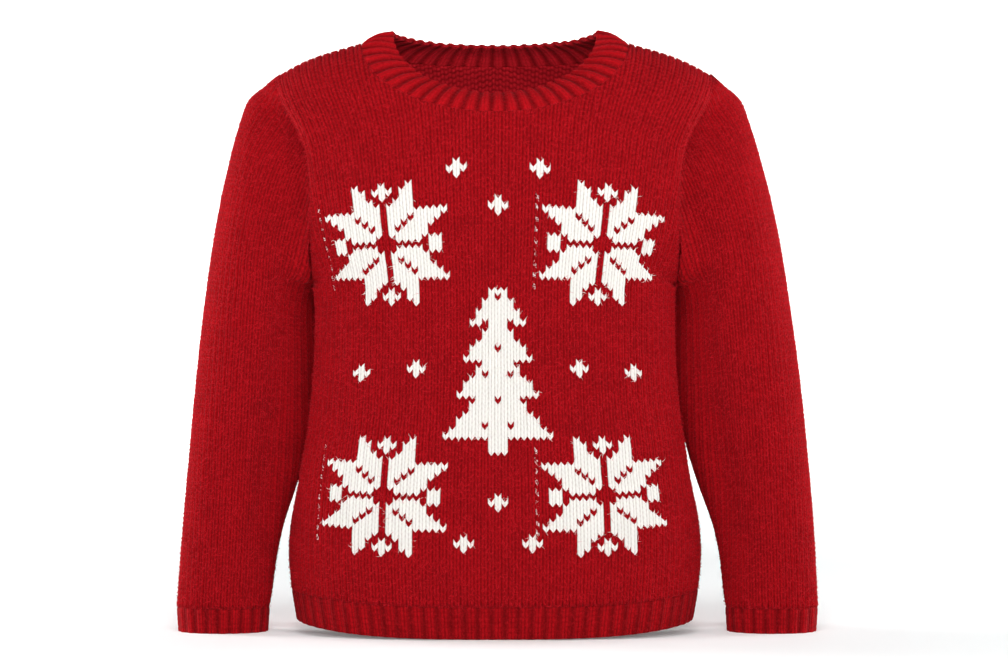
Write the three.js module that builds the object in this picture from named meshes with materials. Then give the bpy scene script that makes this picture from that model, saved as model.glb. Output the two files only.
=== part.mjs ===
// A child's knitted christmas sweater, filled out as if worn, with nobody in it.
// Every piece is a thin wall of cloth, so the body and sleeves are hollow and the neck, hem and cuffs are open.
// Millimetres. +X is the sweater's left, -Y its front, +Z up.
// The origin lies midway between the two shoulder points of the neck seam, where a wearer's shoulders hold it.
import * as THREE from 'three';

const WALL = 3;
const SEAM_GAP = 0.3;
const QUARTER = Math.PI / 2;
const FACING = { front: -1, back: 1 };

// Body: heights are measured along the cloth, 0 at the underarm, -BODY at the welt, YOKE at the shoulder
const UNDERARM_Z = -180;
const BODY = 223;
const YOKE = 264;
const SQUARENESS = 3;
const HEM_DIP = { front: 8.5, back: 0 };
const ROUNDING = { front: 2.6, back: 3.6 };
const SHOULDER = { rise: 28, slope: 0.283, dropsFrom: 120, drop: 0.003 };
const SECTIONS = table(
  ['height', 'halfWidth', 'front', 'back'],
  [
    [-223, 150.2, 77, 71],
    [-192, 152.4, 79, 71],
    [-156, 151, 80, 69],
    [-120, 146.5, 80, 67],
    [-84, 141, 79.5, 66],
    [-50, 138.5, 79, 67.5],
    [-20, 138.3, 78.5, 70],
    [0, 139.4, 78, 71.5],
    [30, 146.5, 78, 72.5],
    [62, 152.5, 78.5, 73],
    [103, 159.5, 78.5, 73],
    [141, 166, 78, 72.5],
    [184, 173, 77, 72],
    [264, 178, 76, 72],
  ],
);
const ARMHOLE = table(
  ['height', 'x'],
  [
    [0, 139.4],
    [15, 138],
    [30, 137.2],
    [62, 137.2],
    [103, 140.5],
    [126, 146.5],
    [141, 151],
    [159, 156],
    [184, 160.5],
    [216, 163.5],
    [264, 164.5],
  ],
);

// Neck: the seam on the panels, and the band's free edge
const NECK_SEAM = { halfWidth: 98.5, drop: { front: 55, back: 10 } };
const NECK_EDGE = { halfWidth: 77, depth: { front: 55, back: 46 }, height: 10, drop: { front: 50.7, back: 6 } };
const NECKBAND_SWELL = 2.2;

// Sleeves: sections from the armhole (0) to the cuff (1), through an outer and an inner line
const SLEEVE = table(
  ['along', 'outerZ', 'innerZ', 'leftOuter', 'rightOuter', 'leftInner', 'rightInner', 'halfDepth', 'centreY'],
  [
    [0, -24.3, -180, 164.5, 164.5, 139.4, 139.4, 46, 0],
    [0.125, -54, -193, 186.2, 186.8, 139.7, 139.7, 46, -1],
    [0.25, -94, -208, 199.2, 198.5, 139.6, 139.6, 45.5, -2],
    [0.375, -142, -232, 210.3, 208, 140, 140, 43.5, -3],
    [0.5, -200, -262, 219.4, 216, 142.6, 142.2, 39.5, -5],
    [0.625, -256, -291, 226.6, 221.9, 149.2, 146.7, 35, -7],
    [0.75, -312, -326, 232, 226.8, 155.8, 152, 30.5, -9],
    [0.875, -364, -370, 236, 231.2, 163.7, 158.8, 26, -11],
    [1, -417, -417, 238.6, 235.1, 170.8, 167, 22.5, -12],
  ],
);
const ARMHOLE_BLEND = 0.3;

// Ribs: three columns of points to a rib, two on its crest and one in the valley beside it
const RIB = [0.9, 0.9, -0.4];
const WELT = { depth: 22, narrows: 0.025, ribs: 41 };
const CUFF = { depth: 22, narrows: 0.05, ribs: 20 };
const NECKBAND_RIBS = { front: 30, back: 24 };

// Grid steps
const BODY_ROWS = 8;
const ARMHOLE_ROWS = 11;
const PANEL_ROWS = BODY_ROWS + ARMHOLE_ROWS;
const NECK_COLUMNS = 11;
const SHOULDER_COLUMNS = 6;
const HALF_COLUMNS = NECK_COLUMNS + SHOULDER_COLUMNS;
const SLEEVE_ROWS = 17;
const BAND_ROWS = 2;
const NORMAL_STEP = { turn: 1e-3, climb: 0.05 };
const NECKBAND_ROWS = 3;

// The largest soft troughs in the cloth, by the face they lie on, their middle, and the lean of their length
const FOLDS = table(
  ['face', 'x', 'z', 'lean', 'length', 'width', 'depth'],
  [
    [-1, -112, -188, 62, 46, 13, 2.4],
    [-1, 116, -172, -58, 52, 14, 2.6],
    [-1, -104, -282, 78, 60, 15, 1.8],
    [-1, 108, -318, -80, 54, 16, 1.6],
    [-1, 30, -372, 12, 48, 18, 1.2],
    [-1, -183, -214, 22, 30, 12, 1.9],
    [-1, 190, -236, -26, 34, 12, 2],
    [-1, 206, -340, -14, 26, 10, 1.4],
    [-1, -198, -318, 18, 28, 10, 1.5],
    [1, -96, -196, 58, 54, 15, 2.5],
    [1, 104, -186, -62, 48, 14, 2.3],
    [1, -12, -262, 6, 62, 20, 2.2],
    [1, 22, -330, -8, 50, 18, 1.8],
    [1, -188, -232, 24, 32, 12, 2],
    [1, 184, -258, -20, 30, 12, 1.8],
  ],
);

const RED_WOOL = { color: 0xa80a14, roughness: 0.95, metalness: 0 };
const RED_RIB = { color: 0x9c0912, roughness: 0.95, metalness: 0 };

// Tables: named columns, read as a smooth curve against the first one
function table(names, rows) {
  return Object.fromEntries(names.map((name, i) => [name, rows.map((row) => row[i])]));
}

function smooth(columns, name, at) {
  const along = Object.values(columns)[0];
  const values = columns[name];
  const last = along.length - 1;
  const above = along.findIndex((value) => value > at);
  const i = above < 0 ? last - 1 : Math.max(above - 1, 0);
  const slope = (k) => {
    const from = Math.max(k - 1, 0);
    const to = Math.min(k + 1, last);
    return (values[to] - values[from]) / (along[to] - along[from]);
  };
  const span = along[i + 1] - along[i];
  const t = THREE.MathUtils.clamp((at - along[i]) / span, 0, 1);
  const ease = t * t * (3 - 2 * t);
  return (
    values[i] * (1 - ease) +
    values[i + 1] * ease +
    span * t * (1 - t) * ((1 - t) * slope(i) - t * slope(i + 1))
  );
}

// Curves that are worked out from a share between 0 and 1, and shares of them at even distances
class Line extends THREE.Curve {
  constructor(place) {
    super();
    this.place = place;
    this.arcLengthDivisions = 400;
  }

  getPoint(share) {
    return this.place(share);
  }
}

function evenShares(place, steps) {
  const line = new Line(place);
  return Array.from({ length: steps + 1 }, (_, i) => line.getUtoTmapping(i / steps));
}

function lerp(a, b, share) {
  return THREE.MathUtils.lerp(a, b, share);
}

function direction(from, to) {
  return to.clone().sub(from).normalize();
}

// The body's surface
function shoulderLine(x) {
  const beyond = Math.max(0, Math.abs(x) - SHOULDER.dropsFrom);
  return SHOULDER.rise - SHOULDER.slope * Math.abs(x) - SHOULDER.drop * beyond ** 2;
}

// A point of the front or back, where angle turns from the middle (0) to the side (a quarter turn)
function torsoPoint(side, { angle, height }) {
  const across = Math.sin(angle);
  const x = smooth(SECTIONS, 'halfWidth', height) * Math.sign(across) * Math.abs(across) ** (2 / SQUARENESS);
  const rise = Math.sin((QUARTER * Math.max(0, height)) / YOKE);
  const closure = Math.max(0, 1 - rise ** ROUNDING[side]) ** (1 / ROUNDING[side]);
  const depth = smooth(SECTIONS, side, height) * closure * Math.abs(Math.cos(angle)) ** (2 / SQUARENESS);
  const dip = 1 + (HEM_DIP[side] / BODY) * Math.cos(angle) ** 2;
  const z = UNDERARM_Z + (height > 0 ? (shoulderLine(x) - UNDERARM_Z) * rise : height * dip);
  return new THREE.Vector3(x, FACING[side] * depth, z);
}

// The body's outward normal, from small steps round it and up it that stay within its edges
function torsoNormal(side, { angle, height }) {
  const at = (turn, climb) =>
    torsoPoint(side, {
      angle: THREE.MathUtils.clamp(angle + turn, -QUARTER, QUARTER),
      height: Math.min(height + climb, YOKE),
    });
  const around = direction(at(-NORMAL_STEP.turn, 0), at(NORMAL_STEP.turn, 0));
  const upward = direction(at(0, -NORMAL_STEP.climb), at(0, NORMAL_STEP.climb));
  return around.cross(upward).setLength(-FACING[side]);
}

function angleAt(x, height) {
  const share = Math.min(1, x / smooth(SECTIONS, 'halfWidth', height));
  return Math.asin(share ** (SQUARENESS / 2));
}

function armholePlace(share) {
  const height = share * YOKE;
  return { angle: angleAt(smooth(ARMHOLE, 'x', height), height), height };
}

function neckPlace(side, share) {
  const turn = share * QUARTER;
  const x = NECK_SEAM.halfWidth * Math.sin(turn);
  const top = shoulderLine(NECK_SEAM.halfWidth);
  const z = top * (1 - Math.cos(turn)) - NECK_SEAM.drop[side] * Math.cos(turn);
  const rise = Math.min(1, (z - UNDERARM_Z) / (shoulderLine(x) - UNDERARM_Z));
  const height = (YOKE * Math.asin(rise)) / QUARTER;
  return { angle: angleAt(x, height), height };
}

function shoulderPlace(share) {
  const x = lerp(NECK_SEAM.halfWidth, smooth(ARMHOLE, 'x', YOKE), share);
  return { angle: angleAt(x, YOKE), height: YOKE };
}

// Places at even distances along one edge of a panel
function edgePlaces(side, place, steps) {
  return evenShares((share) => torsoPoint(side, place(share)), steps).map(place);
}

function mix(a, b, share) {
  return { angle: lerp(a.angle, b.angle, share), height: lerp(a.height, b.height, share) };
}

// A panel's points and normals, blended between its four edges and mirrored about its middle
function panelSurface(side) {
  const bottom = edgePlaces(side, (share) => ({ angle: share * QUARTER, height: -BODY }), HALF_COLUMNS);
  const neck = edgePlaces(side, (share) => neckPlace(side, share), NECK_COLUMNS);
  const shoulder = edgePlaces(side, shoulderPlace, SHOULDER_COLUMNS);
  const top = [...neck, ...shoulder.slice(1)];
  const seam = edgePlaces(side, (share) => ({ angle: QUARTER, height: BODY * (share - 1) }), BODY_ROWS);
  const armhole = edgePlaces(side, armholePlace, ARMHOLE_ROWS);
  const outside = [...seam, ...armhole.slice(1)];
  const row = (i) => {
    const up = i / PANEL_ROWS;
    const middle = mix(bottom[0], top[0], up);
    return (column) => {
      const k = Math.abs(column);
      const out = k / HALF_COLUMNS;
      const byEdges = mix(middle, outside[i], out);
      const byEnds = mix(bottom[k], top[k], up);
      const byCorners = mix(
        mix(bottom[0], bottom[HALF_COLUMNS], out),
        mix(top[0], top[HALF_COLUMNS], out),
        up,
      );
      const angle = byEdges.angle + byEnds.angle - byCorners.angle;
      const height = byEdges.height + byEnds.height - byCorners.height;
      return { angle: angle * Math.sign(column), height };
    };
  };
  const columns = Array.from({ length: 2 * HALF_COLUMNS + 1 }, (_, j) => j - HALF_COLUMNS);
  const places = Array.from({ length: PANEL_ROWS + 1 }, (_, i) => columns.map(row(i)));
  return {
    grid: places.map((line) => line.map((place) => torsoPoint(side, place))),
    normals: places.map((line) => line.map((place) => torsoNormal(side, place))),
  };
}

// The loop of armhole points from the shoulder down the front to the underarm and up the back
function armholeLoop(panels, column) {
  const rise = (side) => panels[side].grid.slice(BODY_ROWS).map((row) => row[column]);
  return [...rise('front').reverse(), ...rise('back').slice(1, -1)];
}

// A point of a sleeve's oval section, where turn runs from the outer line round the front
function sectionPoint(side, along, turn) {
  const outward = side === 'left' ? 1 : -1;
  const read = (name) => smooth(SLEEVE, name, along);
  const outer = new THREE.Vector3(outward * read(`${side}Outer`), 0, read('outerZ'));
  const inner = new THREE.Vector3(outward * read(`${side}Inner`), 0, read('innerZ'));
  const point = inner.lerp(outer, (1 + Math.cos(turn)) / 2);
  return point.setY(read('centreY') - read('halfDepth') * Math.sin(turn));
}

// A sleeve's points, which start on the armhole and settle into the oval sections below it
function sleeveGrid(side, loop) {
  return Array.from({ length: SLEEVE_ROWS + 1 }, (_, i) => {
    const along = i / SLEEVE_ROWS;
    const held = Math.max(0, 1 - along / ARMHOLE_BLEND) ** 2;
    return loop.map((seat, k) => {
      const turn = (4 * QUARTER * k) / loop.length;
      const drift = seat.clone().sub(sectionPoint(side, 0, turn));
      return sectionPoint(side, along, turn).addScaledVector(drift, held);
    });
  });
}

// Outward unit normals of a grid, from its neighbouring points
function gridNormals(grid, closed) {
  const rows = grid.length - 1;
  const columns = grid[0].length;
  const neighbour = (row, j) => row[closed ? (j + columns) % columns : THREE.MathUtils.clamp(j, 0, columns - 1)];
  const normals = grid.map((row, i) =>
    row.map((_, j) => {
      const across = neighbour(row, j + 1).clone().sub(neighbour(row, j - 1));
      const up = grid[Math.min(i + 1, rows)][j].clone().sub(grid[Math.max(i - 1, 0)][j]);
      return across.cross(up).normalize();
    }),
  );
  const points = grid.flat();
  const centre = points.reduce((sum, p) => sum.add(p), new THREE.Vector3()).divideScalar(points.length);
  const outward = normals.flat().reduce((sum, n, k) => sum + n.dot(points[k].clone().sub(centre)), 0);
  normals.flat().forEach((n) => n.multiplyScalar(Math.sign(outward)));
  return normals;
}

// A seam in the plane y = 0 is the same seen from the front and from the back
function inMiddlePlane(normal) {
  return normal.clone().setY(0).normalize();
}

// How a piece is cut back at a seam: the way across the cloth there, and the small step away from the seam.
// The pieces meet on the plane between them, or along their outer edge where they fold back on each other.
function mitre(own, other) {
  const meet = THREE.MathUtils.clamp(1 + own.normal.dot(other.normal), 0, 1);
  const through = own.normal.clone().addScaledVector(other.normal, meet).normalize();
  const apart = direction(other.into, own.into).addScaledVector(direction(own.normal, other.normal), 0.25);
  return { through, step: apart.setLength(SEAM_GAP / 2) };
}

// The way along the cloth from an edge point, square to the edge
function squareInto(point, inside, before, after) {
  const along = direction(before, after);
  const into = inside.clone().sub(point);
  return into.addScaledVector(along, -into.dot(along)).normalize();
}

// The armhole seam's points on a panel and on the sleeve, each with its normal and the way into its piece
function armholeSeam(panels, sleeve, side, column) {
  const inner = column === 0 ? 1 : column - 1;
  const count = sleeve.grid[0].length;
  const cuts = { panel: {}, sleeve: [] };
  for (const face of ['front', 'back']) {
    cuts.panel[face] = [];
    for (let i = BODY_ROWS; i <= PANEL_ROWS; i += 1) {
      const k = face === 'front' ? PANEL_ROWS - i : (count + i - PANEL_ROWS) % count;
      const grid = panels[face].grid;
      const point = grid[i][column];
      const before = sleeve.grid[0][(k + count - 1) % count];
      const after = sleeve.grid[0][(k + 1) % count];
      const atCorner = i === BODY_ROWS || i === PANEL_ROWS;
      const flattened = (normal) => (atCorner ? inMiddlePlane(normal) : normal);
      const onPanel = {
        normal: flattened(panels[face].normals[i][column]),
        into: squareInto(point, grid[i][inner], before, after),
      };
      const onSleeve = {
        normal: flattened(sleeve.normals[0][k]),
        into: squareInto(point, sleeve.grid[1][k], before, after),
      };
      cuts.panel[face][i] = mitre(onPanel, onSleeve);
      cuts.sleeve[k] = mitre(onSleeve, onPanel);
    }
  }
  return cuts;
}

// Soft troughs, deepest at their middle, on the face that looks the same way as the normal
function foldDepth(point, normal) {
  return FOLDS.face.reduce((sum, face, k) => {
    const lean = THREE.MathUtils.degToRad(FOLDS.lean[k]);
    const x = point.x - FOLDS.x[k];
    const z = point.z - FOLDS.z[k];
    const along = (x * Math.sin(lean) + z * Math.cos(lean)) / FOLDS.length[k];
    const across = (x * Math.cos(lean) - z * Math.sin(lean)) / FOLDS.width[k];
    const facing = Math.max(0, face * normal.y);
    return sum + FOLDS.depth[k] * facing * Math.exp(-(along ** 2) - across ** 2);
  }, 0);
}

// Moves the points away from a piece's seams into its folds
function withFolds({ grid, normals }, closed) {
  const rows = grid.length - 1;
  const columns = grid[0].length - 1;
  const outer = grid.map((row, i) =>
    row.map((point, j) => {
      const fromEnds = Math.min(i, rows - i);
      const fromSides = closed ? fromEnds : Math.min(j, columns - j);
      const free = Math.min(1, Math.min(fromEnds, fromSides) / 2);
      return point.clone().addScaledVector(normals[i][j], -free * foldDepth(point, normals[i][j]));
    }),
  );
  return { outer, through: normals.map((row) => row.map((n) => n.clone())) };
}

// A panel as a wall: its seams at the sides and shoulders lie in the plane y = 0
function panelWall(face, panel, armholes) {
  const { grid } = panel;
  const { outer, through } = withFolds(panel, false);
  const last = 2 * HALF_COLUMNS;
  const half = SEAM_GAP / 2;
  for (let j = 0; j <= last; j += 1) {
    const fromMiddle = Math.abs(j - HALF_COLUMNS);
    const onSide = fromMiddle === HALF_COLUMNS;
    for (let i = 0; i <= PANEL_ROWS; i += 1) {
      const onShoulder = i === PANEL_ROWS && fromMiddle >= NECK_COLUMNS;
      if (onShoulder || (onSide && i <= BODY_ROWS)) {
        through[i][j] = inMiddlePlane(through[i][j]);
        outer[i][j].y += FACING[face] * half;
      }
      if (onSide && i >= BODY_ROWS) {
        const cut = armholes[j === 0 ? 'right' : 'left'].panel[face][i];
        through[i][j].copy(cut.through);
        outer[i][j].add(cut.step);
      }
    }
  }
  const neckEnds = [HALF_COLUMNS - NECK_COLUMNS, HALF_COLUMNS + NECK_COLUMNS + 1];
  const edges = {};
  for (const [name, i, ends] of [['welt', 0, [0, last + 1]], ['neck', PANEL_ROWS, neckEnds]]) {
    const inside = grid[i === 0 ? 1 : i - 1].slice(...ends);
    edges[name] = seamEdge(grid[i].slice(...ends), through[i].slice(...ends), inside, false);
    edges[name].forEach(({ out }, k) => outer[i][ends[0] + k].addScaledVector(out, -half));
  }
  return { outer, inner: lining(outer, through), edges };
}

// One edge of a piece, for the band that is joined to it: points, the way through the cloth and the way out.
// An open edge ends square to the plane y = 0.
function seamEdge(points, through, inside, closed) {
  const count = points.length;
  const near = (j) => points[closed ? (j + count) % count : THREE.MathUtils.clamp(j, 0, count - 1)];
  const out = points.map((_, j) => {
    const along = direction(near(j - 1), near(j + 1));
    if (!closed && (j === 0 || j === count - 1)) {
      along.set(0, Math.sign(along.y), 0);
    }
    return along.cross(through[j]).normalize();
  });
  const sense = Math.sign(out.reduce((sum, way, j) => sum + way.dot(direction(inside[j], points[j])), 0));
  return points.map((point, j) => ({ point, through: through[j], out: out[j].multiplyScalar(sense) }));
}

// The edge again with any number of columns, each on the straight run between two of the panel's points
function resampled(edge, columns) {
  return Array.from({ length: columns + 1 }, (_, c) => {
    const at = (c * (edge.length - 1)) / columns;
    const k = Math.min(Math.floor(at), edge.length - 2);
    const share = at - k;
    return {
      point: edge[k].point.clone().lerp(edge[k + 1].point, share),
      through: edge[k].through.clone().lerp(edge[k + 1].through, share).normalize(),
      out: edge[k].out.clone().lerp(edge[k + 1].out, share).normalize(),
    };
  });
}

function lining(outer, through) {
  return outer.map((row, i) => row.map((point, j) => point.clone().addScaledVector(through[i][j], -WALL)));
}

// Raises a band's outer points into ribs over its plain inside
function ribbed(rows, through) {
  return rows.map((row, i) =>
    row.map((point, c) => point.clone().addScaledVector(through[i][c], RIB[c % RIB.length])),
  );
}

// A ribbed band that hangs down from an edge and narrows towards its free end about the centre
function hangingBand(edge, { depth, narrows }, centre, closed) {
  const rows = Array.from({ length: BAND_ROWS + 1 }, (_, i) => {
    const share = i / BAND_ROWS;
    const size = 1 - narrows * share;
    return edge.map(({ point, out }) => {
      const start = point.clone().addScaledVector(out, SEAM_GAP / 2);
      return new THREE.Vector3(
        centre.x + (start.x - centre.x) * size,
        centre.y + (start.y - centre.y) * size,
        start.z - depth * share,
      );
    });
  });
  const through = gridNormals(rows, closed);
  through[0] = edge.map((place) => place.through);
  return { rows, through };
}

function weltWall(face, edge) {
  const columns = resampled(edge, WELT.ribs * RIB.length);
  const { rows, through } = hangingBand(columns, WELT, new THREE.Vector3(), false);
  rows.forEach((row, i) => {
    for (const end of [0, row.length - 1]) {
      through[i][end] = inMiddlePlane(through[i][end]);
      row[end].y = (FACING[face] * SEAM_GAP) / 2;
    }
  });
  return { outer: ribbed(rows, through), inner: lining(rows, through) };
}

function cuffWall(side, sleeve) {
  const end = sleeve.grid[SLEEVE_ROWS];
  const above = sleeve.grid[SLEEVE_ROWS - 1];
  const edge = seamEdge(end, sleeve.normals[SLEEVE_ROWS], above, true);
  const columns = resampled([...edge, edge[0]], CUFF.ribs * RIB.length).slice(0, -1);
  const centre = sectionPoint(side, 1, 0).lerp(sectionPoint(side, 1, 2 * QUARTER), 0.5);
  const { rows, through } = hangingBand(columns, CUFF, centre, true);
  return { outer: ribbed(rows, through), inner: lining(rows, through) };
}

// The neckband's free edge, at a share of the way round one half from the sweater's right to its left
function neckEdgePoint(side, share) {
  const turn = QUARTER * (2 * share - 1);
  return new THREE.Vector3(
    NECK_EDGE.halfWidth * Math.sin(turn),
    FACING[side] * NECK_EDGE.depth[side] * Math.cos(turn),
    NECK_EDGE.height - NECK_EDGE.drop[side] * Math.cos(turn),
  );
}

function neckbandWall(edges) {
  const half = (side) => {
    const columns = NECKBAND_RIBS[side] * RIB.length;
    const seats = resampled(edges[side], columns);
    const shares = evenShares((share) => neckEdgePoint(side, share), columns);
    return seats.map((seat, c) => ({ ...seat, end: neckEdgePoint(side, shares[c]) }));
  };
  const loop = [...half('front').slice(0, -1), ...half('back').reverse().slice(0, -1)];
  const rows = Array.from({ length: NECKBAND_ROWS + 1 }, (_, i) => {
    const share = i / NECKBAND_ROWS;
    const swell = NECKBAND_SWELL * Math.sin(2 * QUARTER * share);
    return loop.map(({ point, through, out, end }) =>
      point
        .clone()
        .addScaledVector(out, SEAM_GAP / 2)
        .lerp(end, share)
        .addScaledVector(through, swell),
    );
  });
  const through = gridNormals(rows, true);
  through[0] = loop.map((place) => place.through);
  return { outer: ribbed(rows, through), inner: lining(rows, through) };
}

function sleeveWall(sleeve, cuts) {
  const { outer, through } = withFolds(sleeve, true);
  outer[0].forEach((point, k) => {
    point.add(cuts[k].step);
    through[0][k].copy(cuts[k].through);
  });
  const end = seamEdge(outer[SLEEVE_ROWS], through[SLEEVE_ROWS], outer[SLEEVE_ROWS - 1], true);
  end.forEach(({ point, out }) => point.addScaledVector(out, -SEAM_GAP / 2));
  return { outer, inner: lining(outer, through) };
}

// One closed solid between an outer and an inner grid, with rims along the open edges
function wallGeometry({ outer, inner }, closed) {
  const rows = outer.length;
  const columns = outer[0].length;
  const points = [...outer.flat(), ...inner.flat()];
  const index = [];
  const at = (layer, i, j) => (layer * rows + i) * columns + (j % columns);
  // Each four-sided cell is cut along its shorter diagonal
  const quad = (a, b, c, d) => {
    const halves =
      points[a].distanceTo(points[c]) <= points[b].distanceTo(points[d]) ? [a, b, c, a, c, d] : [a, b, d, b, c, d];
    index.push(...halves);
  };
  const spans = closed ? columns : columns - 1;
  for (let j = 0; j < spans; j += 1) {
    for (let i = 0; i < rows - 1; i += 1) {
      quad(at(0, i, j), at(0, i, j + 1), at(0, i + 1, j + 1), at(0, i + 1, j));
      quad(at(1, i, j), at(1, i + 1, j), at(1, i + 1, j + 1), at(1, i, j + 1));
    }
    quad(at(0, 0, j), at(1, 0, j), at(1, 0, j + 1), at(0, 0, j + 1));
    quad(at(0, rows - 1, j), at(0, rows - 1, j + 1), at(1, rows - 1, j + 1), at(1, rows - 1, j));
  }
  for (let i = 0; i < rows - 1 && !closed; i += 1) {
    quad(at(0, i, 0), at(0, i + 1, 0), at(1, i + 1, 0), at(1, i, 0));
    quad(at(0, i, spans), at(1, i, spans), at(1, i + 1, spans), at(0, i + 1, spans));
  }
  if (signedVolume(points, index) < 0) {
    index.reverse();
  }
  const geometry = new THREE.BufferGeometry().setFromPoints(points);
  geometry.setIndex(index);
  geometry.computeVertexNormals();
  return geometry;
}

function signedVolume(points, index) {
  let volume = 0;
  for (let k = 0; k < index.length; k += 3) {
    const [a, b, c] = index.slice(k, k + 3).map((n) => points[n]);
    volume += a.dot(b.clone().cross(c)) / 6;
  }
  return volume;
}

function clothMesh(name, wall, closed, finish) {
  const mesh = new THREE.Mesh(wallGeometry(wall, closed), new THREE.MeshStandardMaterial(finish));
  mesh.name = name;
  return mesh;
}

function buildSweater() {
  const panels = { front: panelSurface('front'), back: panelSurface('back') };
  const sleeves = {};
  const armholes = {};
  for (const [side, column] of [['left', 2 * HALF_COLUMNS], ['right', 0]]) {
    const grid = sleeveGrid(side, armholeLoop(panels, column));
    sleeves[side] = { grid, normals: gridNormals(grid, true) };
    armholes[side] = armholeSeam(panels, sleeves[side], side, column);
  }
  const sweater = new THREE.Group();
  const edges = {};
  for (const face of ['front', 'back']) {
    const wall = panelWall(face, panels[face], armholes);
    edges[face] = wall.edges.neck;
    sweater.add(clothMesh(face, wall, false, RED_WOOL));
    sweater.add(clothMesh(`hem_${face}`, weltWall(face, wall.edges.welt), false, RED_RIB));
  }
  for (const side of ['left', 'right']) {
    sweater.add(clothMesh(`sleeve_${side}`, sleeveWall(sleeves[side], armholes[side].sleeve), true, RED_WOOL));
    sweater.add(clothMesh(`cuff_${side}`, cuffWall(side, sleeves[side]), true, RED_RIB));
  }
  sweater.add(clothMesh('neckband', neckbandWall(edges), true, RED_RIB));
  return sweater;
}

export default buildSweater();
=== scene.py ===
"""A child's knitted christmas sweater, filled out as if worn, with its stitches raised on thin shells."""

import math

import bpy
import numpy as np
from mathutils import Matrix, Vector


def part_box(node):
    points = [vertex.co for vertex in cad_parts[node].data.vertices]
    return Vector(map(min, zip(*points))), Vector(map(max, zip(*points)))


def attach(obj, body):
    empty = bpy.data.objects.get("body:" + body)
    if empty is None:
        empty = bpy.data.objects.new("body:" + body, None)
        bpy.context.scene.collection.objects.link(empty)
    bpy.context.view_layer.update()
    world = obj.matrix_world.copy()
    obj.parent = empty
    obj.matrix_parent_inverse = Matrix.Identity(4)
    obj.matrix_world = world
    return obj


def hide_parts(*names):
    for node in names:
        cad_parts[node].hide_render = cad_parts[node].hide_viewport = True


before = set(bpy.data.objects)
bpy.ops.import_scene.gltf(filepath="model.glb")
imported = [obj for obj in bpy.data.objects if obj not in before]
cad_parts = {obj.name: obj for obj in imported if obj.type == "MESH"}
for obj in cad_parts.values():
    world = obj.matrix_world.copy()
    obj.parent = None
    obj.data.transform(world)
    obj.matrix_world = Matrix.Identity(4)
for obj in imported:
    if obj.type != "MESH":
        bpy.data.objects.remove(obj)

bl_info = {
    "name": "Christmas Sweater",
    "version": (1, 0, 0),
    "blender": (4, 5, 0),
    "location": "View3D > Sidebar > Sweater",
    "description": "Knits a child's sweater with ribbed bands and a winter chart over its plain solids",
    "category": "Object",
}

# The sizes in the tables are millimetres, as in the part's source, and the meshes are metres.
MM = 0.001
QUARTER = math.pi / 2
FACING = {"front": -1, "back": 1}
WALL = 3.0
SEAM_GAP = 0.3


def table(names, rows):
    """Named columns from a list of rows."""
    return dict(zip(names, np.array(rows, float).T))


# Body: heights run up the cloth, 0 at the underarm, -BODY at the welt and YOKE at the shoulder.
UNDERARM_Z = -180.0
BODY = 223.0
YOKE = 264.0
SQUARENESS = 3.0
HEM_DIP = {"front": 8.5, "back": 0.0}
ROUNDING = {"front": 2.6, "back": 3.6}
SHOULDER = {"rise": 28.0, "slope": 0.283, "drops_from": 120.0, "drop": 0.003}
SECTIONS = table(
    ("height", "half_width", "front", "back"),
    [
        (-223, 150.2, 77, 71),
        (-192, 152.4, 79, 71),
        (-156, 151, 80, 69),
        (-120, 146.5, 80, 67),
        (-84, 141, 79.5, 66),
        (-50, 138.5, 79, 67.5),
        (-20, 138.3, 78.5, 70),
        (0, 139.4, 78, 71.5),
        (30, 146.5, 78, 72.5),
        (62, 152.5, 78.5, 73),
        (103, 159.5, 78.5, 73),
        (141, 166, 78, 72.5),
        (184, 173, 77, 72),
        (264, 178, 76, 72),
    ],
)
ARMHOLE = table(
    ("height", "x"),
    [
        (0, 139.4),
        (15, 138),
        (30, 137.2),
        (62, 137.2),
        (103, 140.5),
        (126, 146.5),
        (141, 151),
        (159, 156),
        (184, 160.5),
        (216, 163.5),
        (264, 164.5),
    ],
)

# Neck: the seam on the panels, and the band's free edge.
NECK_SEAM = {"half_width": 98.5, "front": 55.0, "back": 10.0}
NECK_EDGE = {"half_width": 77.0, "height": 10.0}
NECK_EDGE_DEPTH = {"front": 55.0, "back": 46.0}
NECK_EDGE_DROP = {"front": 50.7, "back": 6.0}
NECKBAND_SWELL = 2.2
NECKBAND_WALES = {"front": 60, "back": 48}

# Sleeves: sections from the armhole (0) to the cuff (1), through an outer and an inner line.
SLEEVE = table(
    (
        "along",
        "outer_z",
        "inner_z",
        "left_outer",
        "right_outer",
        "left_inner",
        "right_inner",
        "half_depth",
        "centre_y",
    ),
    [
        (0, -24.3, -180, 164.5, 164.5, 139.4, 139.4, 46, 0),
        (0.125, -54, -193, 186.2, 186.8, 139.7, 139.7, 46, -1),
        (0.25, -94, -208, 199.2, 198.5, 139.6, 139.6, 45.5, -2),
        (0.375, -142, -232, 210.3, 208, 140, 140, 43.5, -3),
        (0.5, -200, -262, 219.4, 216, 142.6, 142.2, 39.5, -5),
        (0.625, -256, -291, 226.6, 221.9, 149.2, 146.7, 35, -7),
        (0.75, -312, -326, 232, 226.8, 155.8, 152, 30.5, -9),
        (0.875, -364, -370, 236, 231.2, 163.7, 158.8, 26, -11),
        (1, -417, -417, 238.6, 235.1, 170.8, 167, 22.5, -12),
    ],
)
ARMHOLE_BLEND = 0.3

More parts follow.
